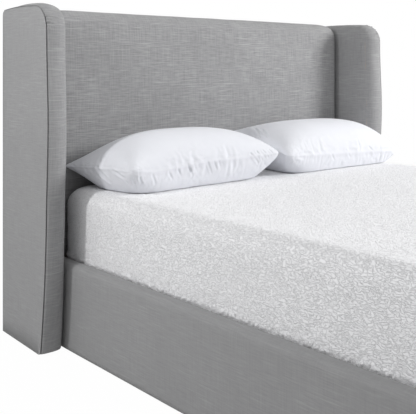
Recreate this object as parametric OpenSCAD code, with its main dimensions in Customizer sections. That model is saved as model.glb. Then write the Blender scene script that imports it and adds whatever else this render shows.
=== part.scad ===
// Queen-size upholstered wing bed with slats, mattress, coverlet and two pillows.
// Millimetres. The origin is on the floor under the middle, +Y points to the head.

/* [Mattress and coverlet] */
// Width of the mattress
mattress_w = 1524; // [1370:1:1600]
// Length of the mattress
mattress_l = 2032; // [1880:1:2100]
// Thickness of the mattress
mattress_t = 280; // [200:1:320]
// Rounding of the mattress's top edge
mattress_edge_r = 55; // [30:1:80]
// Thickness of the quilted coverlet
coverlet_t = 8; // [4:1:14]
// How far the coverlet tucks down below the top of the rail
coverlet_tuck = 24; // [10:1:30]
// Gap between the coverlet and the inside of the rails
tuck_gap = 2; // [1:0.5:8]
// Gap between the head end of the coverlet and the headboard
head_gap = 3; // [2:0.5:10]

/* [Pillows] */
// Length of a filled pillow between its end seams
pillow_l = 735; // [600:1:740]
// Depth of a filled pillow between its long seams
pillow_d = 385; // [330:1:420]
// Thickness of a filled pillow at its middle
pillow_t = 205; // [120:1:240]
// Gap between the two pillows at the middle of the bed
pillow_gap = 46; // [30:1:70]
// How far the long seams of a pillow draw in between its corners
pillow_draw = 16; // [5:1:30]
// How far the pair of pillows lies to the right of the middle
pillow_shift = 25; // [0:1:30]

/* [Side rails and footboard] */
// Height of the rails and the footboard above the floor
rail_top = 311; // [290:1:360]
// Clearance of the upholstery above the floor
floor_gap = 11; // [8:1:20]
// Thickness of the timber boards
board_t = 25; // [18:1:32]
// Foam and fabric on the outside of the boards
rail_foam = 16; // [10:1:25]
// Foam and fabric over the top of the boards
top_foam = 12; // [8:1:16]
// Foam and fabric rolled over to the inside of the boards
lining_t = 5; // [3:0.5:8]
// Rounding of the upper outer edge of the rails
rail_edge_r = 22; // [14:1:26]

/* [Headboard] */
// Height of the headboard
head_h = 1211; // [1000:1:1300]
// Thickness of the headboard's front padding
pad_t = 66; // [58:1:90]
// Rounding of the padding's front edges
pad_edge_r = 55; // [30:1:56]
// Rounding of the padding's upper corners, seen from the front
pad_corner_r = 56; // [20:1:60]
// Crown of the padding at its middle
pad_crown = 4; // [1:0.5:8]
// Thickness of the plywood behind the padding
front_board_t = 12; // [9:1:18]
// Width of the headboard stiles
stile_w = 45; // [38:1:60]
// Depth of the headboard stiles
stile_d = 92; // [70:1:110]
// Height of the headboard's cross rails
cross_rail_h = 90; // [60:1:110]
// Thickness of the headboard's cross rails
cross_rail_t = 35; // [25:1:45]
// Thickness of the back panel
back_panel_t = 6; // [3:1:9]

/* [Wings] */
// Height of a wing at its welt
wing_h = 1208; // [1000:1:1300]
// How far the wing reaches forward of the headboard padding
wing_reach = 184; // [120:1:240]
// Thickness of a wing at its front
wing_t = 90; // [70:1:120]
// How much further out the wing's front stands than its back
wing_splay = 14; // [4:1:24]
// Radius of the wing's upper front corner
wing_corner_r = 88; // [70:1:140]
// Radius of the wing's upper back corner
wing_back_r = 30; // [20:1:50]
// How far the wing's lower front edge runs back
wing_taper = 48; // [10:1:60]
// Height over which the wing's lower front edge runs back
wing_taper_h = 650; // [400:10:800]
// How far the wing's front edge bows forward above the mattress
wing_bow = 10; // [0:1:16]
// How far the wing's top edge rises at its middle
wing_crown = 5; // [0:1:14]
// Bulge of the padding beyond the welt
wing_bulge = 8; // [2:1:14]
// Rounding from the wing's front to its inner face
wing_round = 34; // [20:1:44]
// Thickness of the wing's outer panel
wing_panel_t = 9; // [6:1:12]
// Foam over the front and top of the wing's frame
wing_foam = 28; // [26:1:50]
// Width of the wing frame's front post
wing_post_w = 40; // [30:1:55]
// Fabric and felt over the inner face and the back of the wing's frame
wing_skin = 3; // [2:0.5:5]
// How far the welt stands out of the seam
welt_w = 4; // [2:0.5:6]
// Thickness of the welt
welt_t = 2; // [1.5:0.5:4]
// Gap between the wing and the side rail
wing_gap = 12; // [6:1:20]

/* [Slats and centre support] */
// Width of a slat
slat_w = 90; // [60:1:100]
// Thickness of a slat
slat_t = 19; // [15:1:24]
// Width of a slat cleat
cleat_w = 25; // [18:1:35]
// Height of a slat cleat
cleat_h = 30; // [25:1:45]
// Width of the centre beam
beam_w = 35; // [30:1:50]
// Height of the centre beam
beam_h = 70; // [50:1:90]
// Number of legs under the centre beam
leg_count = 3; // [2:1:4]
// Diameter of a centre leg at its top
leg_d = 45; // [38:1:60]
// Height of a leg's floor cap
cap_h = 12; // [8:1:20]
// Width of the webbing that spaces the slats
strap_w = 25; // [20:1:40]
// Thickness of the webbing
strap_t = 1.5; // [1:0.5:3]

/* [Fittings] */
// Thickness of the steel plates
plate_t = 3; // [2:0.5:4]
// Height of the rail hook plates
hook_plate_h = 150; // [120:1:170]
// How far the hook plates reach into the rail
hook_plate_l = 60; // [40:1:80]
// Height of a hook
hook_h = 32; // [24:1:40]
// How far the hooks stand behind the slotted plate
hook_reach = 11; // [6:0.5:11]
// Diameter of the bolts that hold the wings
bolt_d = 8; // [6:1:10]
// Diameter of the wood screws
screw_d = 4.5; // [3.5:0.5:6]
// Length of the wood screws
screw_l = 34; // [30:1:40]
// Diameter of a floor glide
glide_d = 22; // [18:1:25]

/* [Hidden] */

// Colours
linen_grey = [0.56, 0.56, 0.57];
timber = [0.76, 0.62, 0.44];
plywood = [0.72, 0.58, 0.41];
steel = [0.55, 0.56, 0.58];
zinc = [0.78, 0.78, 0.76];
nylon = [0.48, 0.48, 0.49];
strap_grey = [0.30, 0.30, 0.32];
ticking = [0.90, 0.89, 0.87];
quilt_white = [0.93, 0.93, 0.94];
cotton_white = [0.96, 0.96, 0.98];

// Places across the bed, from the middle outwards
rail_in_x = mattress_w / 2 + coverlet_t + tuck_gap;
board_in_x = rail_in_x + lining_t;
board_out_x = board_in_x + board_t;
rail_out_x = board_out_x + rail_foam;
wing_in_x = rail_out_x + wing_gap;
wing_out_x = wing_in_x + wing_t;
seat_gap = 1;                      // clearance of the headboard between the wings
head_x = wing_in_x - seat_gap;

// Places along the bed, from the head end to the foot end
head_t = pad_t + front_board_t + stile_d + back_panel_t;
wing_d = wing_reach + head_t;
total_l = head_t + head_gap + mattress_l + 2 * coverlet_t + tuck_gap
    + lining_t + board_t + rail_foam;
head_back_y = total_l / 2;
wing_front_y = head_back_y - wing_d;
pad_face_y = wing_front_y + wing_reach;
front_board_y = pad_face_y + pad_t;
stile_y = front_board_y + front_board_t;
panel_y = stile_y + stile_d;
mattress_head_y = pad_face_y - head_gap - coverlet_t;
mattress_mid_y = mattress_head_y - mattress_l / 2;
foot_in_y = mattress_head_y - mattress_l - coverlet_t - tuck_gap;
foot_board_in_y = foot_in_y - lining_t;
foot_board_out_y = foot_board_in_y - board_t;
foot_out_y = foot_board_out_y - rail_foam;
rail_head_y = front_board_y - plate_t;

// Heights
board_top = rail_top - top_foam;
slat_sink = 39;                    // depth of the mattress's seat below the rail top
slat_top = rail_top - slat_sink;
slat_z = slat_top - slat_t;
cleat_z = slat_z - cleat_h;
lining_z = slat_top + 2;
roll_bevel = 1.5;                  // bevel where a cover rolls over to its lining
beam_z = slat_z - beam_h;
mattress_top = slat_top + mattress_t;
coverlet_top = mattress_top + coverlet_t;
coverlet_hem_z = rail_top - coverlet_tuck;
pad_z = rail_top + 2;
top_cap_t = 36;                    // padding over the top of the headboard frame
stile_top = head_h - top_cap_t;
board_low_z = 110;                 // lower edge of the headboard's front board
panel_low_z = 60;                  // lower edge of the back panel
middle_rail_z = 620;               // undersides of the headboard's cross rails
bottom_rail_z = beam_z - 10;
rest_gap = 0.3;                    // clearance under the loose pillows
overcut = 1;                       // how far a cutter reaches past what it cuts

// Wing
splay_angle = atan(wing_splay / wing_d);
seam_gap = 0.05;                   // clearance between the outer panel and the padding
panel_x = wing_out_x - (wing_panel_t + seam_gap) / cos(splay_angle);
wing_low_r = 12;                   // rounding of the lower front corner
bow_low_z = 500;                   // heights between which the front edge bows
bow_high_z = 1100;
rear_post_w = stile_d;
wing_rail_h = 60;                  // height of the wing frame's short rails
wing_mid_z = 560;                  // underside of the wing frame's middle rail
slab_margin = 100;                 // how far the slanted slabs reach past the wing
back_ease = 60;                    // growth at which the upper back corner's height doubles
pad_peak = 0.42;                   // depth of the wing padding's fullest line, as a share
pad_power = 2.3;                   // how squarely the padding turns to the inner face

// Bolts of the wings: heights, and how far they reach past the stile
bolt_low_z = 170;
bolt_margin = 65;                  // distance of the top bolts below the frames' ends
bolt_high_z = min(stile_top, wing_h - wing_foam) - bolt_margin;
bolt_count = 4;
bolt_zs = [for (i = [0:bolt_count - 1])
    bolt_low_z + (bolt_high_z - bolt_low_z) * i / (bolt_count - 1)];
bolt_head_t = 6;
bolt_head_d = 2.4 * bolt_d;
bolt_y = stile_y + stile_d / 2;
bolt_l = stile_w + 30;
bolt_play = 0.2;

// Rail fittings
hook_plate_drop = 60;              // distance of the plates below the rail's top
hook_plate_z = rail_top - hook_plate_drop - hook_plate_h;
hook_x = board_in_x + board_t / 2;
hook_margin = 22;                  // distance of the hooks from the plate's ends
hook_zs = [hook_plate_z + hook_margin, hook_plate_z + hook_plate_h - hook_margin - hook_h];
hook_throat = 9;                   // height of the notch under a hook's nose
hook_bevel = 6;
hook_air = 2;                      // air above and below a hook in the front board
slot_plate_w = 24;
slot_play = 0.4;
pin_d = 6;                         // diameter of the pins through the hook plates
pin_share = 0.6;                   // how far along the plate the pins stand
pin_margin = 40;
pin_zs = [hook_plate_z + pin_margin, hook_plate_z + hook_plate_h - pin_margin];
screw_margin = 10;                 // distance of the outer screws from the plate's ends
plate_screw_zs = [hook_plate_z + screw_margin, hook_plate_z + hook_plate_h / 2,
    hook_plate_z + hook_plate_h - screw_margin];
screw_play = 0.1;
screw_head_t = 3;
end_gap = 0.5;                     // air beyond the end of a screw or bolt

// Foot corners
bracket_leg = 60;
bracket_h = 120;
bracket_z = 70;
bracket_margin = 20;               // distance of the screws from the bracket's ends
bracket_fillet = 4;
bracket_screw_zs = [bracket_z + bracket_margin, bracket_z + bracket_h - bracket_margin];
bracket_screw_a = 36;              // distance of the screws from the inner corner
bracket_screw_l = 22;

// Slats
slat_count = 13;                   // one node holds one slat
slat_x = board_in_x - 1;
slat_margin = 10;                  // distance of the end slats from the mattress's ends
slat_pitch = (mattress_l - slat_w - 2 * slat_margin) / (slat_count - 1);
slat_first_y = mattress_mid_y - mattress_l / 2 + slat_margin + slat_w / 2;
strap_x = 400;
slat_screw_x = board_in_x - cleat_w / 2;
cleat_screw_count = 6;
cleat_screw_margin = 80;           // distance of the end screws from the cleat's ends
cleat_gap = 5;                     // clearance between the cleats and the foot brackets
cleat_foot_y = foot_board_in_y + bracket_leg + cleat_gap;
cleat_head_y = rail_head_y - 2;

// Centre support
beam_foot_y = foot_board_in_y;
beam_head_y = front_board_y;
hanger_t = 2;
hanger_l = 45;
hanger_wing = 22;                  // width of a hanger's side flange
hanger_h = beam_h - 6;             // height of a hanger above the beam's underside
hanger_screw_zs = [beam_z + 14, beam_z + hanger_h - 18];
leg_taper = 10;                    // how much thinner a centre leg is at its foot
cap_wall = 2.5;                    // wall of a floor cap, and its bevelled foot
cap_foot = 1.5;
cap_bevel = 2;
leg_bolt_d = 8;
leg_bolt_l = 70;
leg_pitch = mattress_l / (leg_count + 1);

// Floor glides
glide_bevel = 3;
glide_back = 48;                   // distance behind a wing's lower front edge
glide_in = 40;                     // distance in front of a wing's back
foot_glide_in = 60;                // distance in from the footboard's ends

// Smoothness of round solids
$fn = 40;

// Closed skin over rings that all have the same number of points
module skin(rings) {
    count = len(rings[0]);
    last = len(rings) - 1;
    points = [for (ring = rings) for (point = ring) point];
    walls = [for (i = [0:last - 1]) for (j = [0:count - 1])
        let (k = (j + 1) % count)
        each [
            [i * count + j, (i + 1) * count + j, i * count + k],
            [i * count + k, (i + 1) * count + j, (i + 1) * count + k]
        ]];
    first_cap = [[for (j = [0:count - 1]) j]];
    last_cap = [[for (j = [count - 1:-1:0]) last * count + j]];
    polyhedron(points, concat(walls, first_cap, last_cap));
}

// Round-cornered rectangle as points, counter-clockwise, from x0,z0 to x1,z1
function round_rect(x0, z0, x1, z1, low_r, top_r, steps) = concat(
    [for (i = [0:steps]) let (a = 180 + 90 * i / steps)
        [x0 + low_r + low_r * cos(a), z0 + low_r + low_r * sin(a)]],
    [for (i = [0:steps]) let (a = 270 + 90 * i / steps)
        [x1 - low_r + low_r * cos(a), z0 + low_r + low_r * sin(a)]],
    [for (i = [0:steps]) let (a = 90 * i / steps)
        [x1 - top_r + top_r * cos(a), z1 - top_r + top_r * sin(a)]],
    [for (i = [0:steps]) let (a = 90 + 90 * i / steps)
        [x0 + top_r + top_r * cos(a), z1 - top_r + top_r * sin(a)]]
);

// Padded slab that faces -Y: rounded front edges, a crowned face, a plain back
module padded_slab(half_w, z0, z1, y_face, y_back, edge_r, corner_r, crown) {
    low_r = 3;
    least_r = 6;
    low_share = 0.3;                   // the lower edge is rounded less than the others
    corner_share = 0.5;
    round_steps = 6;
    corner_steps = 5;
    function slab_ring(inset, y) = [
        for (p = round_rect(-half_w + inset, z0 + inset * low_share, half_w - inset, z1 - inset,
            low_r, max(corner_r - inset * corner_share, least_r), corner_steps)) [p[0], y, p[1]]
    ];
    crown_insets = [edge_r * 1.5, edge_r * 2.2];
    crown_left = 0.35;                 // share of the crown still to rise at the first inset
    rings = concat(
        [slab_ring(0, y_back)],
        [for (i = [0:round_steps]) let (a = 90 * i / round_steps)
            slab_ring(edge_r * (1 - cos(a)), y_face + crown + edge_r * (1 - sin(a)))],
        [slab_ring(crown_insets[0], y_face + crown * crown_left)],
        [slab_ring(crown_insets[1], y_face)]
    );
    skin(rings);
}

// Distance of the wing's front edge behind its foremost line at height z
function wing_front(z) =
    wing_taper * pow(max(0, 1 - z / wing_taper_h), 2.2)
    - (z > bow_low_z && z < bow_high_z
        ? wing_bow * pow(sin(180 * (z - bow_low_z) / (bow_high_z - bow_low_z)), 2) : 0);

// Side outline of a wing, its front and top moved out by grow: [distance back, height]
function wing_outline(grow) =
    let (
        low_z = floor_gap + wing_low_r,
        high_z = wing_h - wing_corner_r,
        low_a = wing_front(low_z) - grow + wing_low_r,
        arc_a = wing_front(high_z) + wing_corner_r,
        arc_r = wing_corner_r + grow,
        back_a = wing_d - wing_back_r,
        back_rz = wing_back_r * (1 + grow / back_ease)
    )
    concat(
        [[wing_d, floor_gap]],
        [for (i = [0:2]) let (t = 270 - 45 * i)
            [low_a + wing_low_r * cos(t), low_z + wing_low_r * sin(t)]],
        [for (i = [1:13]) let (z = low_z + (high_z - low_z) * i / 14)
            [wing_front(z) - grow, z]],
        [for (i = [0:6]) let (t = 180 - 15 * i)
            [arc_a + arc_r * cos(t), high_z + arc_r * sin(t)]],
        [for (i = [1:6]) let (a = arc_a + (back_a - arc_a) * i / 7)
            [a, wing_h + grow + wing_crown * sin(180 * i / 7)]],
        [for (i = [0:3]) let (t = 90 - 30 * i)
            [back_a + wing_back_r * cos(t), wing_h + grow - back_rz + back_rz * sin(t)]]
    );

// Distance of the slanted plane inside the outer panel from the middle of the bed
function panel_plane_x(back) = panel_x - wing_splay * back / wing_d;

// Section of the wing's padding from the welt to the inner face: [depth share, grow]
function wing_section() =
    let (power = 2 / pad_power)
    concat(
        [for (t = [0, 0.12, 0.35, 0.65, 1])
            [pad_peak * t, wing_bulge * (1 - pow(1 - t, 2))]],
        [for (a = [20, 40, 56, 72, 90])
            [pad_peak + (1 - pad_peak) * pow(sin(a), power),
                -wing_round + (wing_round + wing_bulge) * pow(max(cos(a), 0), power)]]
    );

// Copies a left-hand piece to the side asked for: -1 is left, 1 is right
module on_side(side) {
    mirror([side > 0 ? 1 : 0, 0, 0]) children();
}

// Prism along X with the wing's side outline, between two distances from the middle
module wing_prism(grow, x_in, x_out) {
    translate([-x_in, wing_front_y, 0])
        rotate([90, 0, -90])
            linear_extrude(height = x_out - x_in)
                mirror([1, 0]) polygon(wing_outline(grow));
}

// Slanted slab between two depths measured square to the wing's outer face
module splay_slab(near, far) {
    translate([-wing_out_x, wing_front_y, 0])
        rotate([0, 0, -splay_angle])
            translate([near, -slab_margin, -slab_margin])
                cube([far - near, wing_d + 2 * slab_margin, wing_h + 2 * slab_margin]);
}

// Frame of the left wing before its outer side is cut to the splay
module wing_core(trim) {
    intersection() {
        wing_prism(-wing_foam, wing_in_x + wing_skin, wing_out_x);
        translate([-wing_out_x - overcut, wing_front_y, floor_gap - trim])
            cube([wing_t + 2 * overcut, wing_d - wing_skin, wing_h]);
        splay_slab(wing_panel_t, wing_t + slab_margin);
    }
}

module wing_frame(side) {
    window_a0 = wing_front(floor_gap) + wing_foam + wing_post_w;
    window_a1 = wing_d - wing_skin - rear_post_w;
    window_l = window_a1 - window_a0;
    low_z = floor_gap + wing_rail_h;
    mid_top = wing_mid_z + wing_rail_h;
    color(timber) on_side(side) difference() {
        wing_core(0);
        translate([-wing_out_x - overcut, wing_front_y + window_a0, low_z])
            cube([wing_t + 2 * overcut, window_l, wing_mid_z - low_z]);
        translate([-wing_out_x - overcut, wing_front_y + window_a0, mid_top])
            cube([wing_t + 2 * overcut, window_l, wing_h - wing_foam - wing_rail_h - mid_top]);
        wing_bolt_holes(bolt_l + end_gap);
    }
}

// Clearance holes for the wing bolts of the left side, from the stile outwards
module wing_bolt_holes(length) {
    for (z = bolt_zs)
        translate([-(wing_in_x - stile_w - overcut), bolt_y, z])
            rotate([0, -90, 0])
                cylinder(d = bolt_d + 2 * bolt_play, h = length + overcut);
}

module wing_outer_panel(side) {
    color(linen_grey) on_side(side) intersection() {
        wing_prism(0, wing_in_x, wing_out_x + slab_margin);
        splay_slab(0, wing_panel_t);
    }
}

module wing_pad(side) {
    section = wing_section();
    rings = [for (i = [len(section) - 1:-1:0])
        let (s = section[i])
        [for (p = wing_outline(s[1]))
            let (plane_x = panel_plane_x(p[0]))
            [-(plane_x + (wing_in_x - plane_x) * s[0]), wing_front_y + p[0], p[1]]]];
    color(linen_grey) on_side(side) difference() {
        skin(rings);
        wing_core(overcut);
        wing_bolt_holes(stile_w + wing_skin + overcut);
    }
}

module wing_welt(side) {
    color(linen_grey) on_side(side) intersection() {
        difference() {
            wing_prism(welt_w, wing_in_x, wing_out_x + slab_margin);
            wing_prism(0, wing_in_x - overcut, wing_out_x + slab_margin + overcut);
        }
        splay_slab(wing_panel_t - welt_t, wing_panel_t);
    }
}

module wing_bolts() {
    color(zinc) for (side = [-1, 1]) on_side(side) for (z = bolt_zs)
        translate([-(wing_in_x - stile_w), bolt_y, z]) rotate([0, -90, 0]) {
            cylinder(d = bolt_d, h = bolt_l);
            translate([0, 0, -bolt_head_t]) cylinder(d = bolt_head_d, h = bolt_head_t);
        }
}

module headboard_stile(side) {
    color(timber) on_side(side) difference() {
        translate([-wing_in_x, stile_y, floor_gap])
            cube([stile_w, stile_d, stile_top - floor_gap]);
        wing_bolt_holes(stile_w + overcut);
        for (z = plate_screw_zs) plate_screw_hole(z);
    }
}

module headboard_cross_rail(z) {
    half = wing_in_x - stile_w;
    color(timber) translate([-half, stile_y, z])
        cube([2 * half, cross_rail_t, cross_rail_h]);
}

// Countersunk hole of one slotted-plate screw on the left side
module plate_screw_hole(z) {
    translate([-hook_x, rail_head_y, z]) rotate([-90, 0, 0]) {
        translate([0, 0, -overcut])
            cylinder(d = screw_d + 2 * screw_play, h = screw_l + screw_head_t + 2 * overcut);
        cylinder(d1 = 2 * screw_d + 2 * screw_play, d2 = 1.2 * screw_d + 2 * screw_play,
            h = screw_head_t);
    }
}

module headboard_front_board() {
    color(plywood) difference() {
        translate([-head_x, front_board_y, board_low_z])
            cube([2 * head_x, front_board_t, stile_top - board_low_z]);
        for (side = [-1, 1]) on_side(side) {
            for (z = hook_zs)
                translate([-hook_x - plate_t, front_board_y - overcut, z - hook_throat - hook_air])
                    cube([2 * plate_t, front_board_t + 2 * overcut,
                        hook_h + hook_throat + 2 * hook_air]);
            for (z = plate_screw_zs) plate_screw_hole(z);
        }
        hanger_screw_holes(beam_head_y, 1);
    }
}

module headboard_pad() {
    color(linen_grey) difference() {
        padded_slab(head_x, pad_z, head_h, pad_face_y, head_back_y,
            pad_edge_r, pad_corner_r, pad_crown);
        translate([-head_x - overcut, front_board_y, pad_z - overcut])
            cube([2 * (head_x + overcut), head_t, stile_top - pad_z + overcut]);
    }
}

module headboard_back_panel() {
    color(linen_grey) translate([-head_x, panel_y, panel_low_z])
        cube([2 * head_x, back_panel_t, stile_top - panel_low_z]);
}

// Section of a rail cover, open below: [distance from the middle, height]
function cover_section() = concat(
    [[board_out_x, floor_gap], [rail_out_x, floor_gap]],
    [for (i = [0:6]) let (a = 15 * i)
        [rail_out_x - rail_edge_r + rail_edge_r * cos(a),
            rail_top - rail_edge_r + rail_edge_r * sin(a)]],
    [[rail_in_x + lining_t, rail_top], [rail_in_x + roll_bevel, rail_top - roll_bevel],
        [rail_in_x, rail_top - lining_t], [rail_in_x, lining_z],
        [board_in_x, lining_z], [board_in_x, board_top], [board_out_x, board_top]]
);

module rail_cover(side) {
    color(linen_grey) on_side(side)
        translate([0, rail_head_y, 0]) rotate([90, 0, 0])
            linear_extrude(height = rail_head_y - foot_in_y)
                mirror([1, 0]) polygon(cover_section());
}

module rail_board(side) {
    color(timber) on_side(side) difference() {
        translate([-board_out_x, foot_board_in_y, floor_gap])
            cube([board_t, rail_head_y - foot_board_in_y, board_top - floor_gap]);
        translate([-hook_x - plate_t / 2, rail_head_y - hook_plate_l, hook_plate_z])
            cube([plate_t, hook_plate_l + overcut, hook_plate_h]);
        hook_pin_places(pin_d, board_t + 2 * overcut);
        cleat_screw_places(screw_d + 2 * screw_play, screw_l + end_gap);
        bracket_screw_places(screw_d + 2 * screw_play, bracket_screw_l + end_gap, true);
    }
}

// Cylinders for the pins of the left hook plate
module hook_pin_places(diameter, length) {
    for (z = pin_zs)
        translate([-hook_x + length / 2, rail_head_y - hook_plate_l * pin_share, z])
            rotate([0, -90, 0]) cylinder(d = diameter, h = length);
}

module hook_plate_pins() {
    color(zinc) for (side = [-1, 1]) on_side(side) hook_pin_places(pin_d, board_t);
}

// One hook, drawn with its root at y = 0 and its upper corner rounded by a bevel
module hook_shape(z) {
    reach = plate_t + hook_reach;
    translate([0, z]) polygon([[0, 0], [plate_t, 0], [plate_t, -hook_throat],
        [reach, -hook_throat], [reach, hook_h - hook_bevel],
        [reach - hook_bevel, hook_h], [0, hook_h]]);
}

module rail_hook_plates() {
    color(steel) for (side = [-1, 1]) on_side(side) difference() {
        translate([-hook_x - plate_t / 2, rail_head_y, 0])
            rotate([90, 0, 90]) linear_extrude(height = plate_t) union() {
                translate([-hook_plate_l, hook_plate_z])
                    square([hook_plate_l, hook_plate_h]);
                for (z = hook_zs) hook_shape(z);
            }
        hook_pin_places(pin_d, plate_t + 2 * overcut);
    }
}

module headboard_slot_plates() {
    slot_w = plate_t + 2 * slot_play;
    color(steel) for (side = [-1, 1]) on_side(side) difference() {
        translate([-hook_x - slot_plate_w / 2, rail_head_y, hook_plate_z])
            cube([slot_plate_w, plate_t, hook_plate_h]);
        for (z = hook_zs)
            translate([-hook_x - slot_w / 2, rail_head_y - overcut, z])
                cube([slot_w, plate_t + 2 * overcut, hook_h]);
        for (z = plate_screw_zs) plate_screw_hole(z);
    }
}

// Screw along +Z: its pan head lies below z = 0 and its shank above
module wood_screw(length) {
    cylinder(d = screw_d, h = length);
    translate([0, 0, -screw_head_t])
        cylinder(d1 = 1.4 * screw_d, d2 = 2 * screw_d, h = screw_head_t);
}

// Screw along +Z: its countersunk head lies above z = 0 and its shank above the head
module sunk_screw(length) {
    cylinder(d1 = 2 * screw_d, d2 = 1.2 * screw_d, h = screw_head_t);
    cylinder(d = screw_d, h = screw_head_t + length);
}

module slot_plate_screws() {
    color(zinc) for (side = [-1, 1]) on_side(side) for (z = plate_screw_zs)
        translate([-hook_x, rail_head_y, z]) rotate([-90, 0, 0]) sunk_screw(screw_l - overcut);
}

// Places of the screws that hold the left cleat, from the cleat into the board
function cleat_screw_ys() = [for (i = [0:cleat_screw_count - 1])
    cleat_foot_y + cleat_screw_margin
    + (cleat_head_y - cleat_foot_y - 2 * cleat_screw_margin) * i / (cleat_screw_count - 1)];

module cleat_screw_places(diameter, length) {
    for (y = cleat_screw_ys())
        translate([-(board_in_x - cleat_w), y, cleat_z + cleat_h / 2])
            rotate([0, -90, 0]) cylinder(d = diameter, h = length);
}

module cleat_screws() {
    color(zinc) for (side = [-1, 1]) on_side(side) for (y = cleat_screw_ys())
        translate([-(board_in_x - cleat_w), y, cleat_z + cleat_h / 2])
            rotate([0, -90, 0]) wood_screw(screw_l);
}

module rail_cleat(side) {
    color(timber) on_side(side) difference() {
        translate([-board_in_x, cleat_foot_y, cleat_z])
            cube([cleat_w, cleat_head_y - cleat_foot_y, cleat_h]);
        translate([overcut, 0, 0])
            cleat_screw_places(screw_d + 2 * screw_play, cleat_w + 2 * overcut);
        slat_screw_places(screw_d + 2 * screw_play, screw_l + end_gap);
    }
}

module footboard_cover() {
    color(linen_grey) difference() {
        padded_slab(rail_out_x, floor_gap, rail_top, foot_out_y, foot_in_y,
            rail_edge_r, rail_edge_r, 0);
        translate([-board_out_x, foot_board_out_y, floor_gap - overcut])
            cube([2 * board_out_x, board_t, board_top - floor_gap + overcut]);
        translate([-board_out_x, foot_board_out_y + overcut, floor_gap - overcut])
            cube([2 * board_out_x, board_t + lining_t, lining_z - floor_gap + overcut]);
        for (side = [-1, 1]) on_side(side)
            translate([-board_out_x, foot_board_out_y + overcut, floor_gap - overcut])
                cube([board_t, board_t + lining_t, board_top - floor_gap + overcut]);
    }
}

module footboard_board() {
    color(timber) difference() {
        translate([-board_out_x, foot_board_out_y, floor_gap])
            cube([2 * board_out_x, board_t, board_top - floor_gap]);
        for (side = [-1, 1]) on_side(side)
            bracket_screw_places(screw_d + 2 * screw_play, bracket_screw_l + end_gap, false);
        hanger_screw_holes(beam_foot_y, -1);
    }
}

// Screws of the left foot bracket: into the rail board, or into the footboard
module bracket_screw_places(diameter, length, into_rail) {
    for (z = bracket_screw_zs)
        if (into_rail)
            translate([-(board_in_x - plate_t), foot_board_in_y + bracket_screw_a, z])
                rotate([0, -90, 0]) cylinder(d = diameter, h = length);
        else
            translate([-(board_in_x - bracket_screw_a), foot_board_in_y + plate_t, z])
                rotate([90, 0, 0]) cylinder(d = diameter, h = length);
}

module corner_brackets() {
    color(steel) for (side = [-1, 1]) on_side(side) difference() {
        translate([-board_in_x, foot_board_in_y, bracket_z])
            linear_extrude(height = bracket_h)
                polygon([[0, 0], [bracket_leg, 0], [bracket_leg, plate_t],
                    [plate_t + bracket_fillet, plate_t], [plate_t, plate_t + bracket_fillet],
                    [plate_t, bracket_leg], [0, bracket_leg]]);
        translate([overcut, 0, 0])
            bracket_screw_places(screw_d + 2 * screw_play, plate_t + 2 * overcut, true);
        translate([0, overcut, 0])
            bracket_screw_places(screw_d + 2 * screw_play, plate_t + 2 * overcut, false);
    }
}

module corner_screws() {
    color(zinc) for (side = [-1, 1]) on_side(side) for (z = bracket_screw_zs) {
        translate([-(board_in_x - plate_t), foot_board_in_y + bracket_screw_a, z])
            rotate([0, -90, 0]) wood_screw(bracket_screw_l);
        translate([-(board_in_x - bracket_screw_a), foot_board_in_y + plate_t, z])
            rotate([90, 0, 0]) wood_screw(bracket_screw_l);
    }
}

module centre_beam() {
    color(timber) difference() {
        translate([-beam_w / 2, beam_foot_y, beam_z])
            cube([beam_w, beam_head_y - beam_foot_y, beam_h]);
        for (y = leg_ys())
            translate([0, y, beam_z - overcut])
                cylinder(d = leg_bolt_d, h = leg_bolt_l / 2 + overcut);
    }
}

function leg_ys() = [for (i = [1:leg_count]) mattress_mid_y - mattress_l / 2 + leg_pitch * i];

// Upper leg ends, lower leg ends and floor caps, one above the other
module centre_legs() {
    color(timber) for (y = leg_ys())
        translate([0, y, 0]) difference() {
            translate([0, 0, cap_h / 2])
                cylinder(d1 = leg_d - leg_taper, d2 = leg_d, h = beam_z - cap_h / 2);
            translate([0, 0, beam_z - leg_bolt_l / 2])
                cylinder(d = leg_bolt_d, h = leg_bolt_l);
        }
}

module leg_bolts() {
    color(zinc) for (y = leg_ys())
        translate([0, y, beam_z - leg_bolt_l / 2]) cylinder(d = leg_bolt_d, h = leg_bolt_l);
}

module leg_caps() {
    socket_r = (leg_d - leg_taper) / 2;
    slope = leg_taper / 2 / (beam_z - cap_h / 2);
    rim_r = socket_r + slope * cap_h / 2;
    color(nylon) for (y = leg_ys())
        translate([0, y, 0]) rotate_extrude()
            polygon([[0, 0], [rim_r + cap_foot, 0], [rim_r + cap_wall, cap_bevel],
                [rim_r + cap_wall, cap_h], [rim_r, cap_h], [socket_r, cap_h / 2],
                [0, cap_h / 2]]);
}

// Steel U-strap that carries one end of the centre beam, its flanges against y_wall
module beam_hanger(y_wall, towards) {
    half = beam_w / 2;
    out = half + hanger_t;
    translate([0, y_wall, 0]) mirror([0, towards > 0 ? 1 : 0, 0]) difference() {
        union() {
            translate([-out, 0, beam_z - hanger_t])
                cube([2 * out, hanger_l, hanger_h + hanger_t]);
            translate([-out - hanger_wing, 0, beam_z - hanger_t])
                cube([2 * (out + hanger_wing), hanger_t, hanger_h + hanger_t]);
        }
        translate([-half, -overcut, beam_z]) cube([beam_w, hanger_l + 2 * overcut, beam_h]);
        for (x = [-1, 1]) for (z = hanger_screw_zs)
            translate([x * (out + hanger_wing / 2), -overcut, z]) rotate([-90, 0, 0])
                cylinder(d = screw_d + 2 * screw_play, h = hanger_t + 2 * overcut);
    }
}

module beam_hangers() {
    color(steel) {
        beam_hanger(beam_head_y, 1);
        beam_hanger(beam_foot_y, -1);
    }
}

// Blind holes behind a hanger, into the wall that it is screwed to
module hanger_screw_holes(y_wall, towards) {
    hanger_screw_places(y_wall, towards)
        cylinder(d = screw_d + 2 * screw_play, h = bracket_screw_l + end_gap);
}

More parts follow.
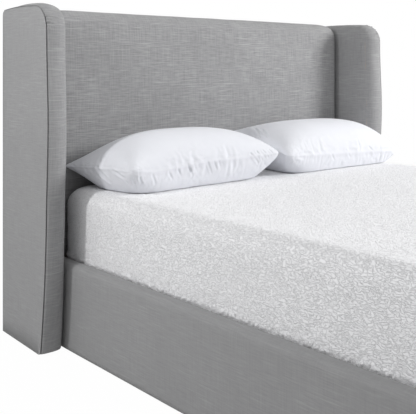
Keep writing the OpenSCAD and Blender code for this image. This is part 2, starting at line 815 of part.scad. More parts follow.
module hanger_screw_places(y_wall, towards) {
    x_off = beam_w / 2 + hanger_t + hanger_wing / 2;
    for (x = [-x_off, x_off]) for (z = hanger_screw_zs)
        translate([x, y_wall - towards * hanger_t, z])
            rotate([-90 * towards, 0, 0]) children();
}

module hanger_screws() {
    color(zinc) {
        hanger_screw_places(beam_head_y, 1) wood_screw(front_board_t);
        hanger_screw_places(beam_foot_y, -1) wood_screw(bracket_screw_l);
    }
}

// Short nylon glide under a post, its rim bevelled at the floor
module floor_glide(x, y) {
    translate([x, y, 0]) rotate_extrude()
        polygon([[0, 0], [glide_d / 2 - glide_bevel, 0], [glide_d / 2, glide_bevel],
            [glide_d / 2, floor_gap], [0, floor_gap]]);
}

module floor_glides() {
    wing_x = wing_out_x - wing_splay - wing_panel_t - glide_d / 2;
    color(nylon) for (side = [-1, 1]) {
        floor_glide(side * (wing_x + wing_splay / 2), wing_front_y + wing_taper + glide_back);
        floor_glide(side * wing_x, head_back_y - glide_in);
        floor_glide(side * (wing_in_x - stile_w / 2), stile_y + stile_d / 2);
        floor_glide(side * (board_out_x - foot_glide_in), foot_board_out_y + board_t / 2);
    }
}

module slat(number) {
    y = slat_first_y + slat_pitch * (number - 1);
    outer = number == 1 || number == slat_count;
    color(timber) difference() {
        translate([-slat_x, y - slat_w / 2, slat_z]) cube([2 * slat_x, slat_w, slat_t]);
        if (outer)
            for (side = [-1, 1]) on_side(side)
                slat_screw_places(screw_d + 2 * screw_play, screw_l);
    }
}

// Places of the four screws that hold the end slats, left side, downwards
module slat_screw_places(diameter, length) {
    for (y = [slat_first_y, slat_first_y + slat_pitch * (slat_count - 1)])
        translate([-slat_screw_x, y, slat_top + overcut]) mirror([0, 0, 1])
            cylinder(d = diameter, h = length);
    for (y = [slat_first_y, slat_first_y + slat_pitch * (slat_count - 1)])
        translate([-slat_screw_x, y, slat_top - screw_head_t])
            cylinder(d = 2 * (screw_d + end_gap), h = screw_head_t + overcut);
}

module slat_screws() {
    color(zinc) for (side = [-1, 1]) on_side(side)
        for (y = [slat_first_y, slat_first_y + slat_pitch * (slat_count - 1)])
            translate([-slat_screw_x, y, slat_top - screw_head_t]) mirror([0, 0, 1])
                wood_screw(screw_l - screw_head_t - overcut);
}

module slat_webbing() {
    y0 = slat_first_y - slat_w / 2;
    y1 = slat_first_y + slat_pitch * (slat_count - 1) + slat_w / 2;
    color(strap_grey) for (side = [-1, 1])
        translate([side * strap_x - strap_w / 2, y0, slat_z - strap_t])
            cube([strap_w, y1 - y0, strap_t]);
}

mattress_corner_r = 70;            // rounding of the mattress's corners, seen from above
corner_ease = 0.3;                 // how fast that rounding falls as a ring draws in
mattress_low_r = 14;               // rounding of the mattress's lower edge
coverlet_low_r = 5;

// Ring of a soft block at height z: a round-cornered rectangle drawn in by inset
function block_ring(grow, inset, z) =
    let (
        half_w = mattress_w / 2 + grow - inset,
        y0 = mattress_head_y - mattress_l - grow + inset,
        y1 = mattress_head_y + grow - inset,
        corner_r = mattress_corner_r + grow - inset * corner_ease
    )
    [for (p = round_rect(-half_w, y0, half_w, y1, corner_r, corner_r, 5)) [p[0], p[1], z]];

// Soft block of the mattress's form, grown by the thickness of a cover
module soft_block(grow, low_z, top_z, low_r) {
    edge_r = mattress_edge_r + grow;
    rings = concat(
        [for (i = [0:3]) let (a = 30 * i)
            block_ring(grow, low_r * (1 - sin(a)), low_z + low_r * (1 - cos(a)))],
        [for (i = [0:6]) let (a = 15 * i)
            block_ring(grow, edge_r * (1 - cos(a)), top_z - edge_r + edge_r * sin(a))]
    );
    skin(rings);
}

module mattress() {
    color(ticking) soft_block(0, slat_top, mattress_top, mattress_low_r);
}

module coverlet() {
    color(quilt_white) difference() {
        soft_block(coverlet_t, cleat_z, coverlet_top, coverlet_low_r);
        soft_block(0, cleat_z - cleat_h, mattress_top, coverlet_low_r);
        translate([-mattress_w, mattress_mid_y - mattress_l, 0])
            cube([2 * mattress_w, 2 * mattress_l, coverlet_hem_z]);
    }
}

// Pillow grid: u and v run from -1 to 1 along its length and its depth
pillow_nu = 26;
pillow_nv = 16;
end_power = 3.2;                   // how squarely a pillow fills towards its ends
side_power = 2.6;                  // the same towards its long seams
edge_power = 0.55;                 // how steeply a pillow rises from its seams
under_share = 0.62;                // fullness below the seams, as a share of that above
function pillow_step(i, n) = -cos(180 * i / n);
function pillow_fill(u, v, slack) =
    pow(max(0, (1 - pow(abs(u), end_power)) * (1 - pow(abs(v), side_power))), edge_power)
    * (1 - slack * pow(max(0, -u), 2) * (v + 1));

// Point of a pillow's seam sheet; lift is the height of its corners over the bed:
// [back left, back right, front left, front right]
function pillow_sheet(u, v, lift) =
    let (
        draw = pillow_draw * (1 - u * u) * v,
        pull = pillow_draw * (1 - v * v) * u,
        s = (u + 1) / 2,
        t = (v + 1) / 2,
        front = lift[2] * (1 - s) + lift[3] * s,
        back = lift[0] * (1 - s) + lift[1] * s
    )
    [u * pillow_l / 2 - pull, v * pillow_d / 2 - draw, front * (1 - t) + back * t];

// Upper or lower point over the seam sheet; the underside lies flat on the coverlet
function pillow_point(u, v, lift, slack, above) =
    let (
        p = pillow_sheet(u, v, lift),
        fill = pillow_fill(u, v, slack),
        over = fill * (pillow_t - p[2]),
        under = min(fill * pillow_t * under_share, p[2])
    )
    [p[0], p[1], above ? p[2] + over : p[2] - under];

module pillow_form(lift, slack) {
    nu = pillow_nu;
    nv = pillow_nv;
    row = nu + 1;
    upper = [for (j = [0:nv]) for (i = [0:nu])
        pillow_point(pillow_step(i, nu), pillow_step(j, nv), lift, slack, true)];
    lower = [for (j = [0:nv]) for (i = [0:nu])
        pillow_point(pillow_step(i, nu), pillow_step(j, nv), lift, slack, false)];
    size = len(upper);
    // On the seam the lower sheet shares the points of the upper one
    function low(i, j) = (i == 0 || i == nu || j == 0 || j == nv)
        ? j * row + i : size + j * row + i;
    // Two triangles of a cell, split along the line that points to the middle
    function cell(i, j) = (i < nu / 2) == (j < nv / 2)
        ? [[[i, j], [i, j + 1], [i + 1, j + 1]], [[i, j], [i + 1, j + 1], [i + 1, j]]]
        : [[[i, j], [i, j + 1], [i + 1, j]], [[i, j + 1], [i + 1, j + 1], [i + 1, j]]];
    faces = [for (j = [0:nv - 1]) for (i = [0:nu - 1]) for (t = cell(i, j)) each [
        [for (p = t) p[1] * row + p[0]],
        [for (k = [2, 1, 0]) low(t[k][0], t[k][1])]
    ]];
    polyhedron(concat(upper, lower), faces);
}

// Middle of a pillow across the bed, and its places along it
pillow_x = (pillow_l + pillow_gap) / 2;
pillow_back_gap = 1.3;             // clearance between the pillows and the headboard
pillow_back_y = pad_face_y - pillow_back_gap;
pillow_y = pillow_back_y - pillow_d / 2;
left_lift = [72, 110, 66, 96];
right_lift = [150, 120, 80, 52];
left_slack = 0.34;                 // how much emptier the left pillow's left end is

module left_pillow() {
    color(cotton_white) translate([pillow_shift - pillow_x, pillow_y, coverlet_top + rest_gap])
        pillow_form(left_lift, left_slack);
}

module right_pillow() {
    color(cotton_white) translate([pillow_shift + pillow_x, pillow_y, coverlet_top + rest_gap])
        pillow_form(right_lift, 0);
}

headboard_stile(-1);  // headboard_left_stile
headboard_stile(1);  // headboard_right_stile
headboard_cross_rail(stile_top - cross_rail_h);  // headboard_top_rail
headboard_cross_rail(middle_rail_z);  // headboard_middle_rail
headboard_cross_rail(bottom_rail_z);  // headboard_bottom_rail
headboard_front_board();
headboard_pad();
headboard_back_panel();
wing_frame(-1);  // left_wing_frame
wing_frame(1);  // right_wing_frame
wing_outer_panel(-1);  // left_wing_outer_panel
wing_outer_panel(1);  // right_wing_outer_panel
wing_pad(-1);  // left_wing_pad
wing_pad(1);  // right_wing_pad
wing_welt(-1);  // left_wing_welt
wing_welt(1);  // right_wing_welt
wing_bolts();
rail_board(-1);  // left_rail_board
rail_board(1);  // right_rail_board
rail_cover(-1);  // left_rail_cover
rail_cover(1);  // right_rail_cover
rail_cleat(-1);  // left_rail_cleat
rail_cleat(1);  // right_rail_cleat
cleat_screws();
rail_hook_plates();
hook_plate_pins();
headboard_slot_plates();
slot_plate_screws();
footboard_board();
footboard_cover();
corner_brackets();
corner_screws();
centre_beam();
beam_hangers();
hanger_screws();
centre_legs();
leg_bolts();
leg_caps();
floor_glides();
slat(1);  // slat_01
slat(2);  // slat_02
slat(3);  // slat_03
slat(4);  // slat_04
slat(5);  // slat_05
slat(6);  // slat_06
slat(7);  // slat_07
slat(8);  // slat_08
slat(9);  // slat_09
slat(10);  // slat_10
slat(11);  // slat_11
slat(12);  // slat_12
slat(13);  // slat_13
slat_webbing();
slat_screws();
mattress();
coverlet();
left_pillow();
right_pillow();
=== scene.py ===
import math

import bmesh
import bpy
import numpy as np
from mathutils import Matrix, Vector, noise


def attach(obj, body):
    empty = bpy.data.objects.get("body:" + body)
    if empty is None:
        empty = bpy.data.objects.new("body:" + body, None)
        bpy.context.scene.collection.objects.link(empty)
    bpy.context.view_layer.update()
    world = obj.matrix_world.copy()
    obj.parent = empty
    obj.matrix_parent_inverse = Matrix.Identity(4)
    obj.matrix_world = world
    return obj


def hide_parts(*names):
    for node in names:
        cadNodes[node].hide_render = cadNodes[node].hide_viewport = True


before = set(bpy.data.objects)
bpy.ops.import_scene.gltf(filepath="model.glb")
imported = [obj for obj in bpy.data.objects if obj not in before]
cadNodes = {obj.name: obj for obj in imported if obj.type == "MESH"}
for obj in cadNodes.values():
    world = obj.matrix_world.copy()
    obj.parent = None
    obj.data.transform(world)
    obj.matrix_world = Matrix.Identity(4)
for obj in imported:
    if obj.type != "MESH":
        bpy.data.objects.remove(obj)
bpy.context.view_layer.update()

print("stage: frame loaded,", len(cadNodes), "nodes")

view = {
    "place": (-2.1527, -1.4982, 0.9904),
    "turn": -40.56,                    # degrees about the vertical
    "lens": 65.15, "sensor": 36,       # mm
    "drop": -0.3327,                   # lens shift that keeps the uprights upright
    "far": 60,                         # where the view is clipped
}

cameraData = bpy.data.cameras.new("bedCamera")
cameraData.lens = view["lens"]
cameraData.sensor_width = view["sensor"]
cameraData.shift_y = view["drop"]
cameraData.clip_end = view["far"]
camera = bpy.data.objects.new("bedCamera", cameraData)
camera.location = view["place"]
camera.rotation_euler = (math.radians(90), 0, math.radians(view["turn"]))
bpy.context.scene.collection.objects.link(camera)
bpy.context.scene.camera = camera
bpy.context.scene.view_settings.view_transform = "Standard"
print("stage: camera")


def deselectAll():
    bpy.ops.object.select_all(action="DESELECT")


def selectOnly(piece):
    deselectAll()
    piece.select_set(True)
    bpy.context.view_layer.objects.active = piece


def smooth(piece):
    piece.data.polygons.foreach_set("use_smooth", [True] * len(piece.data.polygons))


def newPiece(name, points, faces):
    mesh = bpy.data.meshes.new(name)
    mesh.from_pydata([tuple(p) for p in points], [], [tuple(f) for f in faces])
    mesh.update()
    piece = bpy.data.objects.new(name, mesh)
    bpy.context.scene.collection.objects.link(piece)
    smooth(piece)
    return piece


def applyAll(piece):
    selectOnly(piece)
    for modifier in list(piece.modifiers):
        bpy.ops.object.modifier_apply(modifier=modifier.name)


def readOut(items, key, width=1, kind=float):
    # one value or vector of every point, corner or face
    flat = np.zeros(len(items) * width, kind)
    items.foreach_get(key, flat)
    return flat.reshape(-1, width) if width > 1 else flat


def pointsOf(piece):
    return readOut(piece.data.vertices, "co", 3)


def setPoints(piece, points):
    piece.data.vertices.foreach_set("co", points.ravel())
    piece.data.update()


def pushOut(piece, amounts):
    setPoints(piece, pointsOf(piece) + readOut(piece.data.vertices, "normal", 3) * amounts[:, None])


def softNoise(points, size, seed=0.0):
    # smooth values from -1 to 1 that change over about size metres
    return np.array([noise.noise(Vector(p) / size + Vector((seed, seed * 1.7, -seed)))
                     for p in points])


def ramp(values, start, length):
    # 0 up to the start, 1 from start + length on; with values and start negated it falls
    return np.clip((values - start) / length, 0, 1)


def cutAway(piece, low, high):
    # takes a plain box out of a piece
    deselectAll()
    centre = [(a + b) / 2 for a, b in zip(low, high)]
    bpy.ops.mesh.primitive_cube_add(size=1, location=centre)
    block = bpy.context.active_object
    block.scale = [b - a for a, b in zip(low, high)]
    cutter = piece.modifiers.new("recess", "BOOLEAN")
    cutter.operation = "DIFFERENCE"
    cutter.solver = "EXACT"
    cutter.object = block
    applyAll(piece)
    bpy.data.objects.remove(block)


def bands(count, rows, flip=False):
    # four-sided faces between rings of points that follow each other
    faces = []
    for i in range(rows - 1):
        for k in range(count):
            n = (k + 1) % count
            quad = (i * count + k, (i + 1) * count + k, (i + 1) * count + n, i * count + n)
            faces.append(quad[::-1] if flip else quad)
    return faces


def closedLoft(name, rings):
    count = len(rings[0])
    faces = bands(count, len(rings))
    faces.append(list(range(count)))
    faces.append([(len(rings) - 1) * count + k for k in range(count - 1, -1, -1)])
    piece = newPiece(name, [p for ring in rings for p in ring], faces)
    mesh = bmesh.new()
    mesh.from_mesh(piece.data)
    bmesh.ops.recalc_face_normals(mesh, faces=mesh.faces)
    mesh.to_mesh(piece.data)
    mesh.free()
    return piece


def cordMesh(name, path, radius, closed):
    # a round cord along the path, run as a curve and turned into a mesh
    curve = bpy.data.curves.new(name, "CURVE")
    curve.dimensions = "3D"
    line = curve.splines.new("POLY")
    line.points.add(len(path) - 1)
    for k, p in enumerate(path):
        line.points[k].co = (*p, 1)
    line.use_cyclic_u = closed
    curve.bevel_depth = radius
    curve.bevel_resolution = 3
    curve.use_fill_caps = not closed
    piece = bpy.data.objects.new(name, curve)
    bpy.context.scene.collection.objects.link(piece)
    selectOnly(piece)
    bpy.ops.object.convert(target="MESH")
    return piece


def layThreads(piece, rule):
    # keeps the cloth's own coordinates, in metres, on the piece: u along the weft, v along the warp
    mesh = piece.data
    layer = mesh.uv_layers.new(name="threads")
    corners = readOut(mesh.loops, "vertex_index", kind=int)
    sizes = readOut(mesh.polygons, "loop_total", kind=int)
    owner = np.repeat(np.arange(len(sizes)), sizes)
    centres, facings = readOut(mesh.polygons, "center", 3), readOut(mesh.polygons, "normal", 3)
    u, v = rule(pointsOf(piece)[corners], centres[owner], facings[owner])
    layer.data.foreach_set("uv", np.stack([u, v], 1).astype(np.float32).ravel())


def dress(piece, material, body, node):
    # the finished piece gets its material, its body and the solid that it stands for
    piece.data.materials.append(material)
    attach(piece, body)
    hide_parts(node)


class Recipe:
    # a node tree written as a list of short steps
    def __init__(self, owner, kind="Material"):
        owner.use_nodes = True
        self.owner, self.tree = owner, owner.node_tree
        self.tree.nodes.clear()
        self.out = self.node("ShaderNodeOutput" + kind)

    def node(self, kind, **settings):
        made = self.tree.nodes.new(kind)
        for key, value in settings.items():
            setattr(made, key, value)
        return made

    def join(self, source, target):
        self.tree.links.new(source, target)

    def feed(self, target, value):
        if isinstance(value, bpy.types.NodeSocket):
            self.join(value, target)
        else:
            target.default_value = value

    def spot(self):
        return self.node("ShaderNodeTexCoord").outputs["Object"]

    def threads(self):
        # the cloth's own coordinates, laid on the piece by layThreads
        return self.node("ShaderNodeUVMap", uv_map="threads").outputs["UV"]

    def upright(self, across):
        # the same for a flat panel or a cord that has none: one axis of the object, and its height
        flat = self.node("ShaderNodeCombineXYZ")
        self.join(self.separate(self.spot(), across), flat.inputs[0])
        self.join(self.separate(self.spot(), 2), flat.inputs[1])
        return flat.outputs[0]

    def separate(self, source, index):
        made = self.node("ShaderNodeSeparateXYZ")
        self.join(source, made.inputs[0])
        return made.outputs[index]

    def place(self, scale=(1, 1, 1), turn=(0, 0, 0), source=None):
        mapping = self.node("ShaderNodeMapping")
        mapping.inputs["Scale"].default_value = scale
        mapping.inputs["Rotation"].default_value = [math.radians(a) for a in turn]
        self.join(self.spot() if source is None else source, mapping.inputs["Vector"])
        return mapping.outputs["Vector"]

    def noise(self, vector, scale=1.0, detail=2.0, rough=0.5, twist=0.0):
        made = self.node("ShaderNodeTexNoise")
        self.join(vector, made.inputs["Vector"])
        for key, value in (("Scale", scale), ("Detail", detail), ("Roughness", rough), ("Distortion", twist)):
            made.inputs[key].default_value = value
        return made.outputs["Fac"]

    def cells(self, vector, scale, spread=1.0):
        made = self.node("ShaderNodeTexVoronoi", feature="F1")
        self.join(vector, made.inputs["Vector"])
        made.inputs["Scale"].default_value = scale
        made.inputs["Randomness"].default_value = spread
        return made.outputs["Distance"]

    def math(self, kind, a, b=0.0, c=0.0):
        made = self.node("ShaderNodeMath", operation=kind)
        for target, value in zip(made.inputs, (a, b, c)):
            self.feed(target, value)
        return made.outputs[0]

    def waves(self, value, pitch):
        return self.math("SINE", self.math("MULTIPLY", value, 2 * math.pi / pitch))

    def total(self, *parts):
        # the sum of values, each times its share
        *first, (value, share) = parts
        result = value if share == 1 else self.math("MULTIPLY", value, share)
        for value, share in reversed(first):
            result = self.math("MULTIPLY_ADD", value, share, result)
        return result

    def spread(self, value, low, high, to0=0.0, to1=1.0):
        made = self.node("ShaderNodeMapRange")
        for key, number in (("From Min", low), ("From Max", high), ("To Min", to0), ("To Max", to1)):
            made.inputs[key].default_value = number
        self.join(value, made.inputs["Value"])
        return made.outputs["Result"]

    def blend(self, factor, first, second):
        made = self.node("ShaderNodeMix", data_type="RGBA")
        self.feed(made.inputs[0], factor)
        for target, value in ((made.inputs[6], first), (made.inputs[7], second)):
            self.feed(target, value if isinstance(value, bpy.types.NodeSocket) else (*value, 1))
        return made.outputs[2]

    def shade(self, value, low, high, look):
        # from the look's dark colour to its light one
        return self.blend(self.spread(value, low, high), look["dark"], look["light"])

    def bump(self, height, distance, strength=1.0, over=None):
        made = self.node("ShaderNodeBump")
        made.inputs["Distance"].default_value = distance
        made.inputs["Strength"].default_value = strength
        self.join(height, made.inputs["Height"])
        if over is not None:
            self.join(over, made.inputs["Normal"])
        return made.outputs["Normal"]

    def white(self, kind, strength):
        made = self.node(kind)
        made.inputs["Color"].default_value = (1, 1, 1, 1)
        made.inputs["Strength"].default_value = strength
        return made.outputs[0]

    def whenSeen(self):
        # 1 for what the camera sees, also by way of metal or glass
        rays = self.node("ShaderNodeLightPath").outputs
        return self.math("MAXIMUM", rays["Is Camera Ray"],
                         self.math("MAXIMUM", rays["Is Glossy Ray"], rays["Is Transmission Ray"]))

    def either(self, share, first, second):
        both = self.node("ShaderNodeMixShader")
        for target, value in zip(both.inputs, (share, first, second)):
            self.join(value, target)
        return both.outputs[0]

    def show(self, shader):
        self.join(shader, self.out.inputs["Surface"])
        return self.owner

    def cover(self, colour, rough, normal=None, **sockets):
        shader = self.node("ShaderNodeBsdfPrincipled")
        self.feed(shader.inputs["Base Color"], colour)
        self.feed(shader.inputs["Roughness"], rough)
        if normal is not None:
            self.join(normal, shader.inputs["Normal"])
        for key, value in sockets.items():
            shader.inputs[key.replace("_", " ")].default_value = value
        return shader.outputs["BSDF"]

    def finish(self, look, colour, height, strength, **sockets):
        normal = self.bump(height, look["relief"], strength)
        return self.show(self.cover(colour, look["rough"], normal, **sockets))


def newRecipe(name):
    return Recipe(bpy.data.materials.new(name))


linenLook = {
    "light": (0.405, 0.405, 0.409),
    "middle": (0.318, 0.318, 0.322),
    "dark": (0.232, 0.232, 0.236),
    "weftLength": 0.050, "weftHeight": 0.0036,      # the slubs that run across, in metres
    "warpWidth": 0.0042, "warpRun": 11,             # faint upright threads
    "flecks": (520, 900, 1), "clouds": (3.1, 5.2, 1),
    "thread": 0.0013,                               # pitch of the weave
    "centre": 0.58, "contrast": 0.24, "calm": 0.30,
    "streak": 0.42, "streakTone": 1.16, "gap": 0.30, "gapTone": 0.92,
    "relief": 0.0003, "rough": 0.88,
}


def linen(name, slubs=1.0, tone=1.0, across=None):
    # heathered cloth: fine flecks everywhere, long light slubs in loose clusters
    look = linenLook
    light, middle, dark = ([c * tone for c in look[key]] for key in ("light", "middle", "dark"))
    r = newRecipe(name)
    cloth = r.threads() if across is None else r.upright(across)
    run, high = 1 / look["weftLength"], 1 / look["weftHeight"]
    weft = r.noise(r.place((run, high, 1), source=cloth), 1, 3, 0.6)
    longWeft = r.noise(r.place((0.45 * run, 0.8 * high, 1), source=cloth), 1, 2, 0.55, 0.15)
    warp = r.noise(r.place((1 / look["warpWidth"], look["warpRun"], 1), source=cloth), 1, 2, 0.55)
    fleck = r.noise(r.place(look["flecks"], source=cloth), 1, 1, 0.5)
    cloud = r.noise(r.place(look["clouds"], source=cloth), 1, 2, 0.5)
    base = r.total((weft, 0.52), (warp, 0.30), (fleck, 0.22), (cloud, 0.12))
    reach = look["contrast"] / slubs
    ground = r.blend(r.spread(base, look["centre"] - reach, look["centre"] + reach), dark, light)
    ground = r.blend(look["calm"], ground, middle)
    cluster = r.spread(cloud, 0.38, 0.62, 0.35, 1.0)
    streaks, gaps = (r.math("MULTIPLY", cluster, look[key] * slubs) for key in ("streak", "gap"))
    streak = r.math("MULTIPLY", r.spread(longWeft, 0.56, 0.70), streaks)
    gap = r.math("MULTIPLY", r.spread(longWeft, 0.40, 0.28), gaps)
    colour = r.blend(streak, ground, [c * look["streakTone"] for c in light])
    colour = r.blend(gap, colour, [c * look["gapTone"] for c in dark])
    weave = r.math("MULTIPLY", *(r.waves(r.separate(cloth, k), look["thread"]) for k in (0, 1)))
    height = r.total((weft, 1.3), (streak, 1.2), (weave, 0.35))
    return r.finish(look, colour, height, 0.9, Specular_IOR_Level=0.22, Sheen_Weight=0.10, Sheen_Roughness=0.55)


quiltLook = {
    "light": (0.965, 0.967, 0.982),
    "dark": (0.73, 0.73, 0.745),       # painted shade along the sunken stitch lines
    "line": 98.0,                      # how many wandering stitch lines cross a metre
    "squash": (1, 0.72, 1.6), "crossSquash": (1, 0.72, 1.7), "crossTurn": (31, 17, 48),
    "groove": 0.060, "crossGroove": 0.050,
    "fine": 850, "loft": 19,           # the cloth's own grain and the wadding under it
    "relief": 0.0022, "rough": 0.9,
}


def quilt(name):
    # stitch lines wander like worm tracks and leave small puffs between them; the colour darkens into the stitch
    # grooves, painted shade
    look = quiltLook
    r = newRecipe(name)

    def stitches(spot, line, detail, groove):
        wander = r.noise(spot, line, detail, 0.5, 0.3)
        return r.spread(r.math("ABSOLUTE", r.math("SUBTRACT", wander, 0.5)), 0.0, groove)

    line = look["line"]
    track = stitches(r.place(look["squash"]), line, 0.5, look["groove"])
    cross = stitches(r.place(look["crossSquash"], look["crossTurn"]), line * 1.15, 0.4, look["crossGroove"])
    puff = r.math("MULTIPLY", r.math("POWER", track, 0.7), r.math("POWER", cross, 0.6))
    fine = r.noise(r.place(), look["fine"], 2, 0.6)
    loft = r.noise(r.place(), look["loft"], 2, 0.5)
    height = r.total((fine, 0.05), (loft, 0.35), (puff, 1))
    # painted shade: darker from the puffs down into the stitch grooves
    colour = r.shade(puff, 0.05, 0.50, look)
    return r.finish(look, colour, height, 0.8, Specular_IOR_Level=0.15, Sheen_Weight=0.08)


cottonLook = {
    "light": (0.79, 0.80, 0.842), "dark": (0.770, 0.78, 0.822),
    "weave": 1400, "crease": 16,       # how many cross a metre
    "weaveRelief": 0.0002, "creaseRelief": 0.004, "rough": 0.82,
}


def cotton(name):
    look = cottonLook
    r = newRecipe(name)
    weave = r.noise(r.place(), look["weave"], 2, 0.6)
    crease = r.noise(r.place(), look["crease"], 4, 0.55, 0.6)
    normal = r.bump(weave, look["weaveRelief"], 0.5, r.bump(crease, look["creaseRelief"], 0.35))
    # painted shade: the cloth is a little darker in the hollows of the creases
    return r.show(r.cover(r.shade(crease, 0.3, 0.7, look), look["rough"], normal,
                          Specular_IOR_Level=0.2, Sheen_Weight=0.06))


tickingLook = {
    "light": (0.84, 0.83, 0.80), "dark": (0.76, 0.75, 0.72),
    "weave": 1100, "tufts": 22, "relief": 0.004, "rough": 0.9,
}


def ticking(name):
    look = tickingLook
    r = newRecipe(name)
    weave = r.noise(r.place(), look["weave"], 2, 0.6)
    tuft = r.cells(r.place(turn=(0, 0, 45)), look["tufts"], 0.0)
    height = r.total((weave, 0.1), (tuft, 1))
    return r.finish(look, r.shade(weave, 0.35, 0.65, look), height, 0.6, Specular_IOR_Level=0.15)


timberLook = {
    "light": (0.68, 0.50, 0.30), "dark": (0.46, 0.29, 0.15), "knot": (0.20, 0.11, 0.05),
    "grain": (34.0, 1.6), "fibre": (260.0, 6.0),      # across and along the board
    "rings": 46, "relief": 0.0006, "rough": 0.62,
}
slatLook = {**timberLook, "light": (0.74, 0.57, 0.36), "dark": (0.55, 0.37, 0.20)}


def timber(name, along, look=timberLook):
    # along: 0, 1 or 2 for boards that run along x, y or z
    r = newRecipe(name)

    def stretched(key):
        across, lengthwise = look[key]
        return r.place([lengthwise if k == along else across for k in range(3)])

    grain = r.noise(stretched("grain"), 1, 4, 0.6, 1.2)
    fibre = r.noise(stretched("fibre"), 1, 2, 0.6)
    rings = r.math("SINE", r.math("MULTIPLY", grain, look["rings"]))
    mixed = r.total((rings, 0.20), (fibre, 0.5), (grain, 0.4))
    knots = r.spread(r.cells(r.place((3, 3, 3)), 1), 0.04, 0.11, 0.75, 0.0)
    colour = r.blend(knots, r.shade(mixed, 0.15, 0.85, look), look["knot"])
    return r.finish(look, colour, mixed, 0.5, Specular_IOR_Level=0.35)


plyLook = {
    "light": (0.66, 0.49, 0.30), "dark": (0.47, 0.31, 0.17),
    "face": (5, 40, 1.3), "fibre": (300, 60, 7), "ply": 0.003, "relief": 0.0004, "rough": 0.6,
}


def plywood(name):
    look = plyLook
    r = newRecipe(name)
    face = r.noise(r.place(look["face"]), 1, 4, 0.6, 1.6)
    fibre = r.noise(r.place(look["fibre"]), 1, 2, 0.6)
    plies = r.waves(r.separate(r.spot(), 1), look["ply"])
    mixed = r.total((face, 0.7), (fibre, 0.3), (plies, 0.05))
    return r.finish(look, r.shade(mixed, 0.3, 0.75, look), mixed, 0.4, Specular_IOR_Level=0.35)


blackLook = {"light": (0.045, 0.045, 0.05), "worn": 0.82, "rough": 0.45, "metallic": 0.0, "relief": 0.0002}
zincLook = {"light": (0.62, 0.62, 0.60), "worn": 0.82, "rough": 0.34, "metallic": 1.0, "relief": 0.0001}


def metal(name, look):
    r = newRecipe(name)
    grain = r.noise(r.place(), 700, 3, 0.6)
    wear = r.noise(r.place(), 24, 4, 0.65)
    colour = r.blend(r.spread(wear, 0.35, 0.7), [c * look["worn"] for c in look["light"]], look["light"])
    rough = r.spread(wear, 0.3, 0.7, look["rough"] * 0.85, look["rough"] * 1.2)
    return r.show(r.cover(colour, rough, r.bump(grain, look["relief"], 0.6), Metallic=look["metallic"]))


plasticLook = {
    "light": (0.29, 0.29, 0.30), "dark": (0.20, 0.20, 0.21),
    "grain": 900, "scuffs": 60, "relief": 0.0002, "rough": 0.48,
}


def plastic(name):
    look = plasticLook
    r = newRecipe(name)
    grain = r.noise(r.place(), look["grain"], 3, 0.6)
    scuff = r.noise(r.place((1, 1, 6)), look["scuffs"], 4, 0.7)
    return r.finish(look, r.shade(scuff, 0.4, 0.7, look), grain, 0.5)


webbingLook = {
    "light": (0.10, 0.10, 0.11), "dark": (0.045, 0.045, 0.05), "twill": 0.003, "relief": 0.0004, "rough": 0.85,
}


def webbing(name):
    look = webbingLook
    r = newRecipe(name)
    twill = r.waves(r.math("ADD", *(r.separate(r.spot(), k) for k in (0, 1))), look["twill"])
    return r.finish(look, r.shade(twill, -1, 1, look), twill, 0.8)


bedLinen = linen("bedLinen", slubs=0.85)
wingLinen = linen("wingLinen", slubs=1.35)
headLinen = linen("headLinen", slubs=2.15)
backLinen = linen("backLinen", tone=0.92, across=0)
# the welt's cloth is darker than the other linen: painted shade for the dark seam line
paintedShadeWeltLinen = linen("paintedShadeWeltLinen", slubs=0.7, tone=0.75, across=1)
quiltedCotton = quilt("quiltedCotton")
pillowCotton = cotton("pillowCotton")
mattressTicking = ticking("mattressTicking")
timberX, timberY, timberZ = (timber("timberAlong" + word, k) for k, word in enumerate("XYZ"))
slatTimber = timber("slatTimber", 0, slatLook)
boardPly = plywood("boardPly")
blackSteel = metal("blackSteel", blackLook)
zincSteel = metal("zincSteel", zincLook)
glidePlastic = plastic("glidePlastic")
strapWebbing = webbing("strapWebbing")
print("stage: materials")


